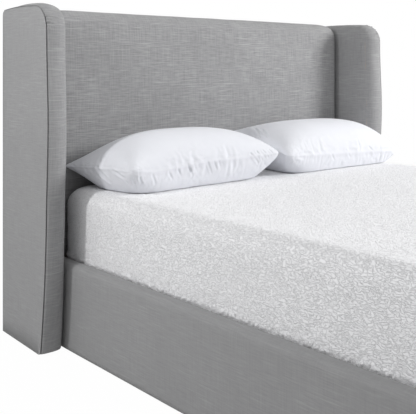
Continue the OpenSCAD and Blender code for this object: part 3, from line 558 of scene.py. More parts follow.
def paddedSlab(name, size):
    # a slab that faces -y: rounded front edges, soft corners, a faint crown; its outline then runs back
    half, low, high = size["half"], size["low"], size["high"]
    edge, corner, face = size["edge"], size["corner"], size["face"]
    curve = [edge * (1 - math.cos(math.radians(t))) for t in np.linspace(0, 90, size["edgeSteps"] + 1)]

    def stops(start, end, roundStart):
        # places from start to end, dense where an edge is rounded
        line = [start + c for c in curve] if roundStart else [start]
        count = max(2, round((end - edge - line[-1]) / size["step"]))
        line += list(np.linspace(line[-1], end - edge, count + 1)[1:])
        return np.array(line + [end - c for c in curve[-2::-1]])

    gx, gz = np.meshgrid(stops(-half, half, True), stops(low, high, False), indexing="ij")
    dx, dz = half - np.abs(gx), high - gz
    inside = (dx < corner) & (dz < corner)
    a, b = np.where(inside, 1 - dx / corner, 0), np.where(inside, 1 - dz / corner, 0)
    ar, br = a * np.sqrt(1 - b * b / 2), b * np.sqrt(1 - a * a / 2)
    x = np.where(inside, np.sign(gx) * (half - corner + corner * ar), gx)
    z = np.where(inside, high - corner + corner * br, gz)
    depth = np.where(inside, corner * (1 - np.hypot(ar, br)), np.minimum(dx, dz))
    turned = edge - np.sqrt(np.maximum(0, edge ** 2 - np.maximum(0, edge - depth) ** 2))
    crown = size["crown"] * np.clip(1 - (depth - edge) / (edge * size["crownReach"]), 0, 1) ** 2
    y = face + turned + np.where(depth < edge, size["crown"], crown)
    nx, nz = x.shape
    points = list(np.stack([x, y, z], -1).reshape(-1, 3))
    cell = lambda i, j: i * nz + j
    faces = [(cell(i, j), cell(i + 1, j), cell(i + 1, j + 1), cell(i, j + 1))
             for i in range(nx - 1) for j in range(nz - 1)]
    rim = [cell(i, 0) for i in range(nx)] + [cell(nx - 1, j) for j in range(1, nz)] \
        + [cell(i, nz - 1) for i in range(nx - 2, -1, -1)] + [cell(0, j) for j in range(nz - 2, 0, -1)]
    previous = rim
    for back in np.linspace(face + edge + size["crown"], size["back"], size["sideSteps"] + 1)[1:]:
        ring = list(range(len(points), len(points) + len(rim)))
        points += [np.array([points[k][0], max(back, points[k][1]), points[k][2]]) for k in rim]
        faces += [(previous[k], ring[k], ring[(k + 1) % len(rim)], previous[(k + 1) % len(rim)])
                  for k in range(len(rim))]
        previous = ring
    faces.append(previous)
    return newPiece(name, points, faces)


def slabThreads(size):
    def rule(p, centre, facing):
        wrap = np.maximum(0, p[:, 1] - size["face"] - size["wrap"])
        side = (size["half"] - np.abs(centre[:, 0])) < (size["high"] - centre[:, 2])
        u = p[:, 0] + np.where(side, np.sign(centre[:, 0]) * wrap, 0)
        v = p[:, 2] + np.where(side, 0, wrap)
        return u, v
    return rule


headboard = {
    "half": 0.829, "low": 0.313, "high": 1.211,
    "face": 0.9615, "back": 1.1375, "edge": 0.055, "corner": 0.056, "crown": 0.004, "crownReach": 1.6,
    "step": 0.016, "edgeSteps": 12, "sideSteps": 8,
    "wrap": 0.006,                               # behind the face, where the cloth starts to run back
    "frameFront": 1.0275, "frameTop": 1.175,     # the recess for the timber frame
    "recessHalf": 0.9, "recessLow": 0.25, "recessBack": 1.2,
    "droop": 0.016, "droopWide": 0.13, "droopLow": 0.95,      # the top edge sinks towards its two ends
    "hang": 0.036, "hangHalf": 0.766, "hangFade": 0.006,      # between the rails the foam hides the frame
    "ripple": 0.0009, "rippleMost": 0.0008, "rippleSizes": ((0.11, 3.1), (0.4, 8.2)),      # size and seed
    "mitre": 0.0035, "mitreWide": 0.006, "mitreLong": 0.09,   # the tuck at each upper corner
}


def makeHeadboard():
    s = headboard
    piece = paddedSlab("headboardPadding", s)
    pts = pointsOf(piece)
    ends = np.clip(1 - (s["half"] - np.abs(pts[:, 0])) / s["droopWide"], 0, 1) ** 2
    pts[:, 2] -= s["droop"] * ends * ramp(pts[:, 2], s["droopLow"], s["high"] - s["droopLow"])
    lowest = pts[:, 2] < s["low"] + 0.0005
    between = ramp(-np.abs(pts[:, 0]), -s["hangHalf"], s["hangFade"])
    pts[:, 2] -= np.where(lowest, s["hang"] * between, 0)
    setPoints(piece, pts)
    ripple = sum(softNoise(pts, size, seed) * s["ripple"] for size, seed in s["rippleSizes"])
    fromSide, fromTop = s["half"] - np.abs(pts[:, 0]), s["high"] - pts[:, 2]
    nearCorner = np.exp(-(fromSide + fromTop) / s["mitreLong"])
    tuck = -s["mitre"] * np.exp(-(np.abs(fromSide - fromTop) / s["mitreWide"]) ** 2) * nearCorner
    inFront = pts[:, 1] < s["frameFront"]
    pushOut(piece, np.where(inFront, np.minimum(ripple, s["rippleMost"]) + tuck, 0))
    half = s["recessHalf"]
    cutAway(piece, (-half, s["frameFront"], s["recessLow"]), (half, s["recessBack"], s["frameTop"]))
    layThreads(piece, slabThreads(s))
    dress(piece, headLinen, "bed_frame", "headboard_pad")


makeHeadboard()
print("stage: headboard padding")

footboard = {
    "half": 0.818, "low": 0.011, "high": 0.311,
    "face": -1.1375, "back": -1.0915, "edge": 0.022, "corner": 0.022, "crown": 0.001, "crownReach": 1.6,
    "step": 0.016, "edgeSteps": 12, "sideSteps": 3, "wrap": 0.006,
    "boardFront": -1.1215, "boardBack": -1.0965, "boardTop": 0.299, "boardHalf": 0.802, "boardInner": 0.777,
    "liningFront": -1.1205, "liningLow": 0.274, "past": -1.05,      # the lining's recesses
    "ripple": 0.0006, "rippleMost": 0.0005, "rippleSize": 0.13, "seed": 5.5,
}


def makeFootboard():
    s = footboard
    piece = paddedSlab("footboardCover", s)
    pts = pointsOf(piece)
    ripple = softNoise(pts, s["rippleSize"], s["seed"]) * s["ripple"]
    pushOut(piece, np.where(pts[:, 1] < s["boardFront"], np.minimum(ripple, s["rippleMost"]), 0))
    half, inner, lining = s["boardHalf"], s["boardInner"], s["liningFront"]
    for low, high in (((-half, s["boardFront"], 0), (half, s["boardBack"], s["boardTop"])),
                      ((-half, lining, 0), (half, s["past"], s["liningLow"])),
                      ((-half, lining, 0), (-inner, s["past"], s["boardTop"])),
                      ((inner, lining, 0), (half, s["past"], s["boardTop"]))):
        cutAway(piece, low, high)
    layThreads(piece, slabThreads(s))
    dress(piece, bedLinen, "bed_frame", "footboard_cover")


makeFootboard()
print("stage: footboard cover")

rail = {
    "outer": 0.818, "boardOut": 0.802, "boardIn": 0.777, "inner": 0.772,
    "top": 0.311, "low": 0.011, "boardTop": 0.299, "liningLow": 0.274, "edge": 0.022,
    "lip": ((0.012, 0), (0.005, 0), (0.0015, 0.0015), (0, 0.005), (0, 0.014)),     # from the lining, and down
    "foot": -1.0915, "head": 1.0245,
    "step": 0.014, "sideSteps": 20, "edgeSteps": 9,
    "ripple": 0.0006, "skin": 0.004,
}


def railSection():
    s = rail
    line = [(s["boardOut"], s["low"])]
    line += [(s["outer"], z) for z in np.linspace(s["low"], s["top"] - s["edge"], s["sideSteps"] + 1)[:-1]]
    line += [(s["outer"] - s["edge"] * (1 - math.cos(t)), s["top"] - s["edge"] * (1 - math.sin(t)))
             for t in np.linspace(0, math.pi / 2, s["edgeSteps"] + 1)]
    line += [(s["inner"] + across, s["top"] - down) for across, down in s["lip"]]
    line += [(s["inner"], s["liningLow"]), (s["boardIn"], s["liningLow"]),
             (s["boardIn"], s["boardTop"]), (s["boardOut"], s["boardTop"])]
    return np.array(line)


def makeRailCover(name, side, node):
    s, section = rail, railSection()
    ys = np.linspace(s["foot"], s["head"], round((s["head"] - s["foot"]) / s["step"]) + 1)
    count = len(section)
    faces = bands(count, len(ys), side > 0)
    ends = [list(range(count)), [(len(ys) - 1) * count + k for k in range(count - 1, -1, -1)]]
    faces += ends if side < 0 else [end[::-1] for end in ends]
    piece = newPiece(name, [(side * x, y, z) for y in ys for x, z in section], faces)
    pts = pointsOf(piece)
    outside = (np.abs(pts[:, 0]) > s["boardOut"] + s["skin"]) | (pts[:, 2] > s["top"] - s["skin"])
    wave = softNoise(pts * (1, 0.5, 1), 0.09, 1.3 + side) + softNoise(pts * (1, 0.35, 1.4), 0.035, 7.7) * 0.3
    pushOut(piece, np.where(outside, wave * s["ripple"], 0))

    def rule(p, centre, facing):
        inner = facing[:, 0] * side < -0.5
        down, up = 2 * s["top"] - p[:, 2] - s["inner"], p[:, 2] - np.abs(p[:, 0])
        return p[:, 1], s["outer"] + np.where(inner, down, up)

    layThreads(piece, rule)
    dress(piece, bedLinen, "bed_frame", node)


makeRailCover("leftRailCover", -1, "left_rail_cover")
makeRailCover("rightRailCover", 1, "right_rail_cover")
print("stage: side rail covers")

wing = {
    "front": 0.7775, "deep": 0.360, "inner": 0.830, "outer": 0.920,
    "high": 1.208, "low": 0.011, "splay": 0.014, "panel": 0.009, "air": 0.00005,
    "corner": 0.088, "backCorner": 0.014, "lowCorner": 0.012,
    "steps": {"foot": 12, "lowCorner": 3, "front": 70, "corner": 42, "top": 12, "backCorner": 5, "back": 70},
    "taper": 0.048, "taperHigh": 0.650, "bow": 0.010, "bowLow": 0.500, "bowHigh": 1.100,
    "crown": 0.005, "bulge": 0.003, "start": 0.0004,
    "peak": 0.28,            # where the boxing stands proudest, as a share of its width
    "rise": (0, 0.02, 0.045, 0.075, 0.11, 0.15, 0.19, 0.235, 0.28),        # places up to the peak
    "turn": (10, 20, 30, 40, 48, 56, 64, 72, 80, 85, 90),                  # degrees round the inner edge
    "round": 0.042, "roundLow": 0.024, "lowHigh": 0.36,      # the boxing is squarer near the floor
    "square": 3.4, "circle": 2.0,
    "middle": 0.6,           # height that the rings of a flat face close in on
    "padFill": (0.04, 0.08, 0.12, 0.25, 0.45, 0.7), "panelFill": (0.12, 0.3, 0.5, 0.75),
    "press": 0.0095,         # how far the foam swells against the side rail
    "pressHigh": 0.315, "pressBack": 0.235, "pressFade": 0.03,
    # depth and growth of the rings where foam and panel meet
    "lip": ((0.00905, -0.0108), (0.0058, -0.0104), (0.0054, -0.0085), (0.0052, -0.0055), (0.0053, -0.0032),
            (0.0060, -0.0014), (0.0074, -0.0002)),
    "rim": ((0.0122, 0.0088), (0.0120, 0.0060), (0.0114, 0.0044), (0.0104, 0.0032), (0.0080, 0.0024),
            (0.0050, 0.0019), (0.0030, 0.0013), (0.0026, 0.0006), (0.0040, 0.0001), (0.0070, 0)),
    "fullness": {-1: 0.0090, 1: -0.004},     # how much higher the boxing stands along the top
    "fullRise": 0.125, "fullFall": 0.20, "fullHigh": 0.07,
    "pucker": 0.0036, "puckerLong": 0.026, "puckerTwist": 160,
    "puckerFrom": -12, "puckerTo": 102, "puckerFade": 30,          # degrees round the corner
    "puckers": ((0.6, 19, 0.05, 2.2, 2.4), (0.9, 41, 0.03, 6.1, 2.0)),     # share, how often, size, seed, stray
    "wave": 0.0008, "waveSize": 0.05,
    "welt": 0.0013, "weltIn": 0.0037, "weltOut": -0.0080, "weltTop": 0.0002,
}
slant = math.atan(wing["splay"] / wing["deep"])


def wingFront(z):
    s = wing
    lean = s["taper"] * max(0, 1 - z / s["taperHigh"]) ** 2.2
    if s["bowLow"] < z < s["bowHigh"]:
        lean -= s["bow"] * math.sin(math.pi * (z - s["bowLow"]) / (s["bowHigh"] - s["bowLow"])) ** 2
    return lean


def wingOutline(grow):
    # back to front along the foot, up the front, over the top and down the back
    s = wing
    lowZ, highZ = s["low"] + s["lowCorner"], s["high"] - s["corner"]
    lowA, arcA = wingFront(lowZ) - grow + s["lowCorner"], wingFront(highZ) + s["corner"]
    arcR, backA = s["corner"] + grow, s["deep"] - s["backCorner"]
    backR = s["backCorner"] * (1 + grow / 0.060)

    def stops(start, end, part):
        return np.linspace(start, end, s["steps"][part] + 1)

    line = [(s["deep"], s["low"])]
    line += [(lowA + (s["deep"] - lowA) * t, s["low"]) for t in stops(1, 0, "foot")[1:-1]]
    line += [(lowA + s["lowCorner"] * math.cos(t), lowZ + s["lowCorner"] * math.sin(t))
             for t in np.radians(stops(270, 180, "lowCorner"))]
    line += [(wingFront(z) - grow, z) for z in stops(lowZ, highZ, "front")[1:-1]]
    line += [(arcA + arcR * math.cos(t), highZ + arcR * math.sin(t))
             for t in np.radians(stops(180, 90, "corner"))]
    line += [(arcA + (backA - arcA) * t, s["high"] + grow + s["crown"] * math.sin(math.pi * t))
             for t in stops(0, 1, "top")[1:-1]]
    line += [(backA + s["backCorner"] * math.cos(t), s["high"] + grow - backR + backR * math.sin(t))
             for t in np.radians(stops(90, 0, "backCorner"))]
    line += [(s["deep"], s["low"] + (s["high"] + grow - backR - s["low"]) * t)
             for t in stops(1, 0, "back")[1:-1]]
    return np.array(line)


def outerPlane(back, depth=0.0):
    # distance of the slanted outer face from the bed's middle, or of a plane inside it
    return wing["outer"] - wing["splay"] * back / wing["deep"] - depth / math.cos(slant)


def closingRings(last, shares, across):
    # a flat face is filled by rings that close in on its middle line
    rings = []
    for t in shares:
        ring = last.copy()
        ring[:, 1] = last[:, 1] + (wing["front"] + wing["deep"] * 0.5 - last[:, 1]) * t
        ring[:, 2] = last[:, 2] + (wing["middle"] - last[:, 2]) * t
        ring[:, 0] = across(ring, t)
        rings.append([tuple(p) for p in ring])
    return rings


def makeWingPadding(name, side, node):
    s, peak = wing, wing["peak"]
    base = wingOutline(0.0)
    outward = (wingOutline(0.01) - base) / 0.01
    upper = np.clip(base[:, 1] / s["lowHigh"], 0, 1) ** 0.7
    soft = (s["roundLow"] + (s["round"] - s["roundLow"]) * upper) * (1 - 0.35 * np.clip(outward[:, 1], 0, 1))
    power = 2 / (s["square"] + (s["circle"] - s["square"]) * upper)
    press = s["press"] * ramp(-base[:, 1], -s["pressHigh"], s["pressFade"]) \
        * ramp(-base[:, 0], -s["pressBack"], s["pressFade"])
    section = [(t, np.full(len(base), s["start"] + (s["bulge"] - s["start"]) * (1 - (1 - t / peak) ** 2)))
               for t in s["rise"]]
    section += [(peak + (1 - peak) * math.sin(a) ** power,
                 (soft + s["bulge"]) * max(math.cos(a), 0) ** power - soft) for a in np.radians(s["turn"])]
    plane = np.array([outerPlane(a, s["panel"] + s["air"]) for a in base[:, 0]])
    rings = []
    # the foam's lip reaches round the panel's edge, and the seam sinks in between the two
    for depth, grow in s["lip"]:
        rings.append([(side * (outerPlane(a) - depth), s["front"] + b, c)
                      for a, (b, c) in zip(base[:, 0], base + outward * grow)])
    for share, grow in section:
        x = plane + (s["inner"] - plane) * share
        rings.append([(side * a, s["front"] + b, c) for a, (b, c) in zip(x, base + outward * grow[:, None])])

    def pressed(ring, t):
        return side * (s["inner"] - press * (np.clip(t / 0.08, 0, 1) - np.clip(t / 0.45 - 0.4, 0, 1) / 0.6))

    rings += closingRings(np.array(rings[-1]), s["padFill"], pressed)
    piece = closedLoft(name, rings)
    pts = pointsOf(piece)
    depth = np.abs(pts[:, 0]) - s["inner"]
    back = pts[:, 1] - s["front"]
    fromSeam = outerPlane(back) - 0.004 - np.abs(pts[:, 0])
    # the boxing is fuller and puckers where it turns round the upper front corner
    cornerZ, cornerA = s["high"] - s["corner"], wingFront(s["high"] - s["corner"]) + s["corner"]
    angle = np.degrees(np.arctan2(pts[:, 2] - cornerZ, cornerA - back))
    around = ramp(angle, s["puckerFrom"], s["puckerFade"]) * ramp(-angle, -s["puckerTo"], s["puckerFade"])
    reach = np.exp(-fromSeam / s["puckerLong"]) * ramp(fromSeam, 0, 0.003)
    far = ramp(np.hypot(pts[:, 2] - cornerZ, cornerA - back), s["corner"] * 0.55, 0.02)
    twist = np.radians(angle + s["puckerTwist"] * fromSeam)
    pucker = sum(weight * np.sin(twist * often + softNoise(pts, size, seed) * stray)
                 for weight, often, size, seed, stray in s["puckers"]) * s["pucker"] * around * reach * far
    wide = ramp(fromSeam, 0, 0.03) * ramp(depth, -0.010, 0.02)
    rise, fall = ramp(back, 0, s["fullRise"]), ramp(-back, -s["deep"] - 0.01, s["fullFall"])
    alongTop = rise ** 2 * (3 - 2 * rise) * fall ** 2 * (3 - 2 * fall) \
        * ramp(pts[:, 2], s["high"] - s["fullHigh"], 0.05)
    full = s["fullness"][side] * wide ** 0.7 * alongTop
    wave = softNoise(pts * (1, 1, 0.6), s["waveSize"], 4.4 + side) * s["wave"] * ramp(fromSeam, 0, 0.006)
    pushOut(piece, np.where(depth > 0.002, pucker + wave + full, np.minimum(wave, 0)))

    def rule(p, centre, facing):
        d = np.abs(p[:, 0]) - s["inner"]
        frontGap, topGap = centre[:, 1] - s["front"], s["high"] + 0.01 - centre[:, 2]
        backGap = s["front"] + s["deep"] - centre[:, 1]
        front = (frontGap <= topGap) & (frontGap <= backGap)
        rear = (backGap < frontGap) & (backGap <= topGap) & (facing[:, 1] > 0.5)
        top = ~front & ~rear & (facing[:, 2] > 0.3)
        u = p[:, 1] - np.where(front, d, 0) + np.where(rear, d, 0)
        v = p[:, 2] + np.where(top, d, 0)
        return u, v

    layThreads(piece, rule)
    dress(piece, wingLinen, "bed_frame", node)


def makeWingPanel(name, side, node):
    # the tight outer panel: its rim is rolled over so that it catches the light beside the seam
    s = wing
    rings = [[(side * outerPlane(a, depth), s["front"] + a, z) for a, z in wingOutline(-inset)]
             for inset, depth in s["rim"]]
    rings += closingRings(np.array(rings[-1]), s["panelFill"],
                          lambda ring, t: side * outerPlane(ring[:, 1] - s["front"]))
    piece = closedLoft(name, rings)
    layThreads(piece, lambda p, centre, facing: (p[:, 1], p[:, 2]))
    dress(piece, bedLinen, "bed_frame", node)


def makeWingWelt(name, side, node):
    # thin piping: deep in the seam along the front, up on its edge along the top; its cloth is darker than the
    # linen beside it, painted shade for the dark line of the seam
    s = wing
    sunk, proud = wingOutline(s["weltOut"]), wingOutline(s["weltTop"])
    share = ramp(proud[:, 0] - wingFront(s["high"]), 0.03, 0.05)[:, None]
    whole = sunk + (proud - sunk) * share * (proud[:, 1:] > s["high"] - 0.03)
    path = [(side * outerPlane(a, s["weltIn"]), s["front"] + a, z)
            for a, z in whole if a < s["deep"] - 0.004 and z > s["low"] + 0.003]
    piece = cordMesh(name, path, s["welt"], False)
    bpy.ops.object.mode_set(mode="EDIT")
    bpy.ops.mesh.select_all(action="SELECT")
    bpy.ops.mesh.remove_doubles(threshold=0.00002)
    bpy.ops.mesh.normals_make_consistent(inside=False)
    bpy.ops.object.mode_set(mode="OBJECT")
    bpy.ops.object.shade_smooth()
    dress(piece, paintedShadeWeltLinen, "bed_frame", node)


for side, word in ((-1, "left"), (1, "right")):
    makeWingWelt(word + "WingWelt", side, word + "_wing_welt")
    makeWingPadding(word + "WingPadding", side, word + "_wing_pad")
    makeWingPanel(word + "WingPanel", side, word + "_wing_outer_panel")
print("stage: wings")

bed = {
    "half": 0.762, "head": 0.9505, "foot": -1.0815, "seat": 0.272, "top": 0.552,
    "corner": 0.070, "tightest": 0.012, "edge": 0.055, "edgeSteps": 8, "topRings": 3,
}
mattress = {
    "less": 0.0005, "lower": 0.001, "lowRound": 0.014, "step": 0.024,
    "wave": 0.0012, "waveSize": 0.12, "slack": 0.0002,
    "piping": 0.004, "pipes": ((0.290, 0.0), (0.512, 0.002)),      # height and inset of each cord
    "pipeIn": 0.0045, "pipeCorner": 0.066,
}
coverlet = {
    "thick": 0.008, "hem": 0.287, "step": 0.013,
    "sink": 0.0016, "puff": 0.0012, "puffSize": 0.022, "roll": 0.0012, "rollSize": 0.24,
    "band": (0.296, 0.352), "cuts": 2,           # the finer strip beside the rail
    "tuft": 0.0062, "tuftSize": 0.0075, "tuftLow": 0.3105, "tuftHigh": 0.332,
    "wadding": 0.0035,
}


def softBlock(grow, low, top, edge, lowRound, step):
    # rings from the lower edge up and over the shoulder, and a grid that fills the top
    halfW, y0, y1 = bed["half"] + grow, bed["foot"] - grow, bed["head"] + grow
    corner = bed["corner"] + grow
    nx, ny = round(2 * halfW / step), round((y1 - y0) / step)

    def ring(inset, z):
        r = max(corner - inset * 0.55, bed["tightest"])
        w, a, b = halfW - inset, y0 + inset, y1 - inset

        def sideLine(p0, p1, count):
            return [(p0[0] + (p1[0] - p0[0]) * t, p0[1] + (p1[1] - p0[1]) * t) for t in np.arange(count) / count]

        def toRound(x, y):
            # moves a point of the sharp-cornered rectangle onto the rounded one
            dx, dy = w - abs(x), min(y - a, b - y)
            if dx < r and dy < r:
                p, q = 1 - dx / r, 1 - dy / r
                pr, qr = p * math.sqrt(1 - q * q / 2), q * math.sqrt(1 - p * p / 2)
                x = math.copysign(w - r + r * pr, x)
                y = b - r + r * qr if b - y < y - a else a + r - r * qr
            return x, y

        line = sideLine((-w, a), (w, a), nx) + sideLine((w, a), (w, b), ny) \
            + sideLine((w, b), (-w, b), nx) + sideLine((-w, b), (-w, a), ny)
        return [(*toRound(x, y), z) for x, y in line]

    rings = [ring(0, low)]
    if lowRound:
        rings = [ring(lowRound * (1 - math.sin(t)), low + lowRound * (1 - math.cos(t)))
                 for t in np.radians((0, 30, 60, 90))]
    wall = np.linspace(rings[-1][0][2], top - edge, max(2, round((top - edge - low) / step)) + 1)[1:-1]
    rings += [ring(0, z) for z in wall]
    rings += [ring(edge * (1 - math.cos(t)), top - edge + edge * math.sin(t))
              for t in np.radians(np.linspace(0, 90, bed["edgeSteps"] + 1))]
    rings += [ring(edge + (k + 1) * step, top) for k in range(bed["topRings"])]
    count = len(rings[0])
    points = [p for r in rings for p in r]
    faces = [(i * count + k, i * count + (k + 1) % count, (i + 1) * count + (k + 1) % count, (i + 1) * count + k)
             for i in range(len(rings) - 1) for k in range(count)]
    # the top's grid starts from the last ring and is filled in between its four sides
    rim = [(len(rings) - 1) * count + k for k in range(count)]
    index = {(i, 0): rim[i] for i in range(nx + 1)}
    index.update({(nx, j): rim[nx + j] for j in range(1, ny + 1)})
    index.update({(i, ny): rim[nx + ny + (nx - i)] for i in range(nx)})
    index.update({(0, j): rim[2 * nx + ny + (ny - j)] for j in range(1, ny)})
    spot = lambda i, j: np.array(points[index[i, j]])
    corners = [spot(i, j) for i, j in ((0, 0), (nx, 0), (nx, ny), (0, ny))]
    for i in range(1, nx):
        for j in range(1, ny):
            s, t = i / nx, j / ny
            weights = ((1 - s) * (1 - t), s * (1 - t), s * t, (1 - s) * t)
            p = (1 - t) * spot(i, 0) + t * spot(i, ny) + (1 - s) * spot(0, j) + s * spot(nx, j) \
                - sum(weight * place for weight, place in zip(weights, corners))
            index[i, j] = len(points)
            points.append(tuple(p))
    faces += [(index[i, j], index[i + 1, j], index[i + 1, j + 1], index[i, j + 1])
              for i in range(nx) for j in range(ny)]
    return points, faces, count


def makeMattress():
    s = mattress
    points, faces, count = softBlock(-s["less"], bed["seat"], bed["top"] - s["lower"], bed["edge"],
                                     s["lowRound"], s["step"])
    faces.append(list(range(count - 1, -1, -1)))
    piece = newPiece("mattressBody", points, faces)
    wave = softNoise(pointsOf(piece), s["waveSize"], 6.1) * s["wave"]
    pushOut(piece, np.minimum(wave, 0) - s["slack"])
    # two piping cords, laid round the block and joined to it
    cords = []
    for z, inset in s["pipes"]:
        halfW, r = bed["half"] - inset - s["pipeIn"], s["pipeCorner"]
        y0, y1 = bed["foot"] + inset + s["pipeIn"], bed["head"] - inset - s["pipeIn"]
        path = []
        for cx, cy, start in ((halfW - r, y1 - r, 0), (-halfW + r, y1 - r, 90),
                              (-halfW + r, y0 + r, 180), (halfW - r, y0 + r, 270)):
            path += [(cx + r * math.cos(math.radians(start + t)), cy + r * math.sin(math.radians(start + t)), z)
                     for t in np.linspace(0, 90, 9)]
        cords.append(cordMesh("piping", path, s["piping"], True))
        smooth(cords[-1])
    selectOnly(piece)
    for cord in cords:
        cord.select_set(True)
    bpy.ops.object.join()
    dress(piece, mattressTicking, "bedding", "mattress")


def makeCoverlet():
    s, thick = coverlet, coverlet["thick"]
    points, faces, _ = softBlock(thick, s["hem"], bed["top"] + thick, bed["edge"] + thick, 0, s["step"])
    piece = newPiece("quiltedCoverlet", points, faces)
    pts = pointsOf(piece)
    puff, roll = softNoise(pts, s["puffSize"], 1.1) * s["puff"], softNoise(pts, s["rollSize"], 9.3) * s["roll"]
    pushOut(piece, np.minimum(-s["sink"] + puff + roll, 0.0))
    # small puffs stand along the lower edge, where the coverlet is tucked in beside the rail
    strip = bmesh.new()
    strip.from_mesh(piece.data)
    low, high = s["band"]
    near = [f for f in strip.faces if abs(f.normal.z) < 0.3 and low < f.calc_center_median().z < high
            and abs(f.calc_center_median().x) > bed["half"] - 0.02]
    edges = list({e for f in near for e in f.edges})
    bmesh.ops.subdivide_edges(strip, edges=edges, cuts=s["cuts"], use_grid_fill=True)
    strip.to_mesh(piece.data)
    strip.free()
    pts = pointsOf(piece)
    wall = (np.abs(pts[:, 0]) > bed["half"] - 0.004) * ramp(pts[:, 2], s["tuftLow"], 0.003) \
        * ramp(-pts[:, 2], -s["tuftHigh"], 0.016)
    bead = 1 - np.abs(softNoise(pts * (1, 1, 0.6), s["tuftSize"], 3.7)) * 3.0
    pts[:, 0] += np.sign(pts[:, 0]) * np.clip(bead, 0, 1) * s["tuft"] * wall
    setPoints(piece, pts)
    thickness = piece.modifiers.new("wadding", "SOLIDIFY")
    thickness.thickness = s["wadding"]
    thickness.offset = -1
    applyAll(piece)
    dress(piece, quiltedCotton, "bedding", "coverlet")


makeMattress()
makeCoverlet()
print("stage: mattress and coverlet")

pillow = {
    "long": 0.735, "deep": 0.385, "thick": 0.205, "draw": 0.014, "corner": 0.034, "under": 0.85,
    "top": 0.5603, "back": 0.9602,
    "stepsLong": 122, "stepsDeep": 66, "crowd": 1.6,
    "sagAt": 0.6, "sagWide": 0.28,
    "frames": 24, "pressure": 1.5, "start": 0.97, "quality": 6, "mass": 0.15, "stiff": 40, "bending": 0.7,
    "hold": (0.37, 0.58), "holdForce": 1.5,      # how firmly the filling keeps the cloth, at the seam and inside
    "looser": 0.07, "calm": 0.4, "seamDraw": 0.05, "patch": 0.07, "inside": 0.10,
    "cap": 0.022, "seamCap": 0.005, "calmInside": 0.06, "creaseReach": 0.024, "creasePatch": 0.085,
    "edge": 0.0026, "beside": -0.0010,           # how far the sewn edge stands out
    "shoulder": 0.45, "shoulderAt": 2.1,         # the cloth that a fold pushes up on both sides
}
# lift and reach hold for the corners back left, back right, front left, front right
leftPillow = {
    "middle": -0.3655, "lift": (0.072, 0.110, 0.086, 0.096), "slack": 0.34, "seed": 2.0, "sag": 0.013,
    "reach": (-0.030, 0, 0.020, 0.006),
    "folds": [      # points along each fold, its depth and its width
        ([(-0.7226, 0.7719, 0.6417), (-0.7119, 0.7497, 0.6148), (-0.6997, 0.7175, 0.5893)], 0.0078, 0.0055),
        ([(-0.7119, 0.6927, 0.6383), (-0.7098, 0.6588, 0.6313), (-0.7032, 0.6203, 0.6178)], 0.0036, 0.0042),
        ([(-0.7100, 0.6707, 0.6301), (-0.7052, 0.6353, 0.6198), (-0.6859, 0.6215, 0.5922)], 0.0039, 0.0038),
        ([(-0.7005, 0.5945, 0.6272), (-0.6802, 0.6060, 0.5969)], 0.0036, 0.0036),
        ([(-0.6759, 0.5829, 0.6262), (-0.6585, 0.5957, 0.5959)], 0.0036, 0.0036),
        ([(-0.7434, 0.9050, 0.6420), (-0.7434, 0.8870, 0.6319)], 0.0024, 0.0030),
        ([(-0.7332, 0.8349, 0.6398), (-0.7254, 0.8341, 0.6142)], 0.0027, 0.0030),
        ([(-0.6212, 0.5834, 0.6244), (-0.6015, 0.5927, 0.5905)], 0.0021, 0.0040),
        ([(-0.5509, 0.5850, 0.6317), (-0.5275, 0.5924, 0.6007)], 0.0030, 0.0034),
        ([(-0.5106, 0.5856, 0.6386), (-0.4863, 0.5934, 0.6073)], 0.0033, 0.0034),
        ([(-0.4643, 0.5868, 0.6487), (-0.4333, 0.5965, 0.6057)], 0.0051, 0.0036),
        ([(-0.4368, 0.5866, 0.6501), (-0.4141, 0.5915, 0.6189)], 0.0039, 0.0030),
        ([(-0.3694, 0.5882, 0.6517), (-0.3422, 0.5973, 0.6045)], 0.0045, 0.0034),
        ([(-0.3395, 0.5892, 0.6529), (-0.3208, 0.5939, 0.6177)], 0.0042, 0.0030),
        ([(-0.3163, 0.5877, 0.6512), (-0.3028, 0.5919, 0.6238)], 0.0030, 0.0030),
        ([(-0.1542, 0.5864, 0.6652), (-0.1086, 0.5894, 0.6229)], 0.0051, 0.0036),
        ([(-0.1213, 0.5874, 0.6704), (-0.0908, 0.5853, 0.6335)], 0.0045, 0.0030),
        ([(-0.0890, 0.5872, 0.6720), (-0.0607, 0.5825, 0.6431)], 0.0048, 0.0030),
        ([(-0.0556, 0.5876, 0.6736), (-0.0368, 0.5787, 0.6534)], 0.0039, 0.0028),
    ],
}
rightPillow = {
    "middle": 0.4155, "lift": (0.150, 0.120, 0.080, 0.052), "slack": 0.0, "seed": 5.0, "sag": 0.0,
    "reach": (0, 0, 0, 0),
    "folds": [
        ([(0.1270, 0.8924, 0.7323), (0.0721, 0.7859, 0.6992)], 0.0045, 0.0040),
        ([(0.1162, 0.8374, 0.7318), (0.0738, 0.7517, 0.6973)], 0.0042, 0.0040),
        ([(0.1165, 0.7948, 0.7301), (0.0818, 0.7243, 0.7029)], 0.0033, 0.0038),
        ([(0.3158, 0.5877, 0.6349), (0.3493, 0.5939, 0.5978)], 0.0030, 0.0034),
        ([(0.4184, 0.5905, 0.6402), (0.4534, 0.5912, 0.6028)], 0.0033, 0.0034),
        ([(0.5780, 0.5899, 0.6425), (0.6155, 0.5854, 0.6134)], 0.0033, 0.0034),
    ],
}


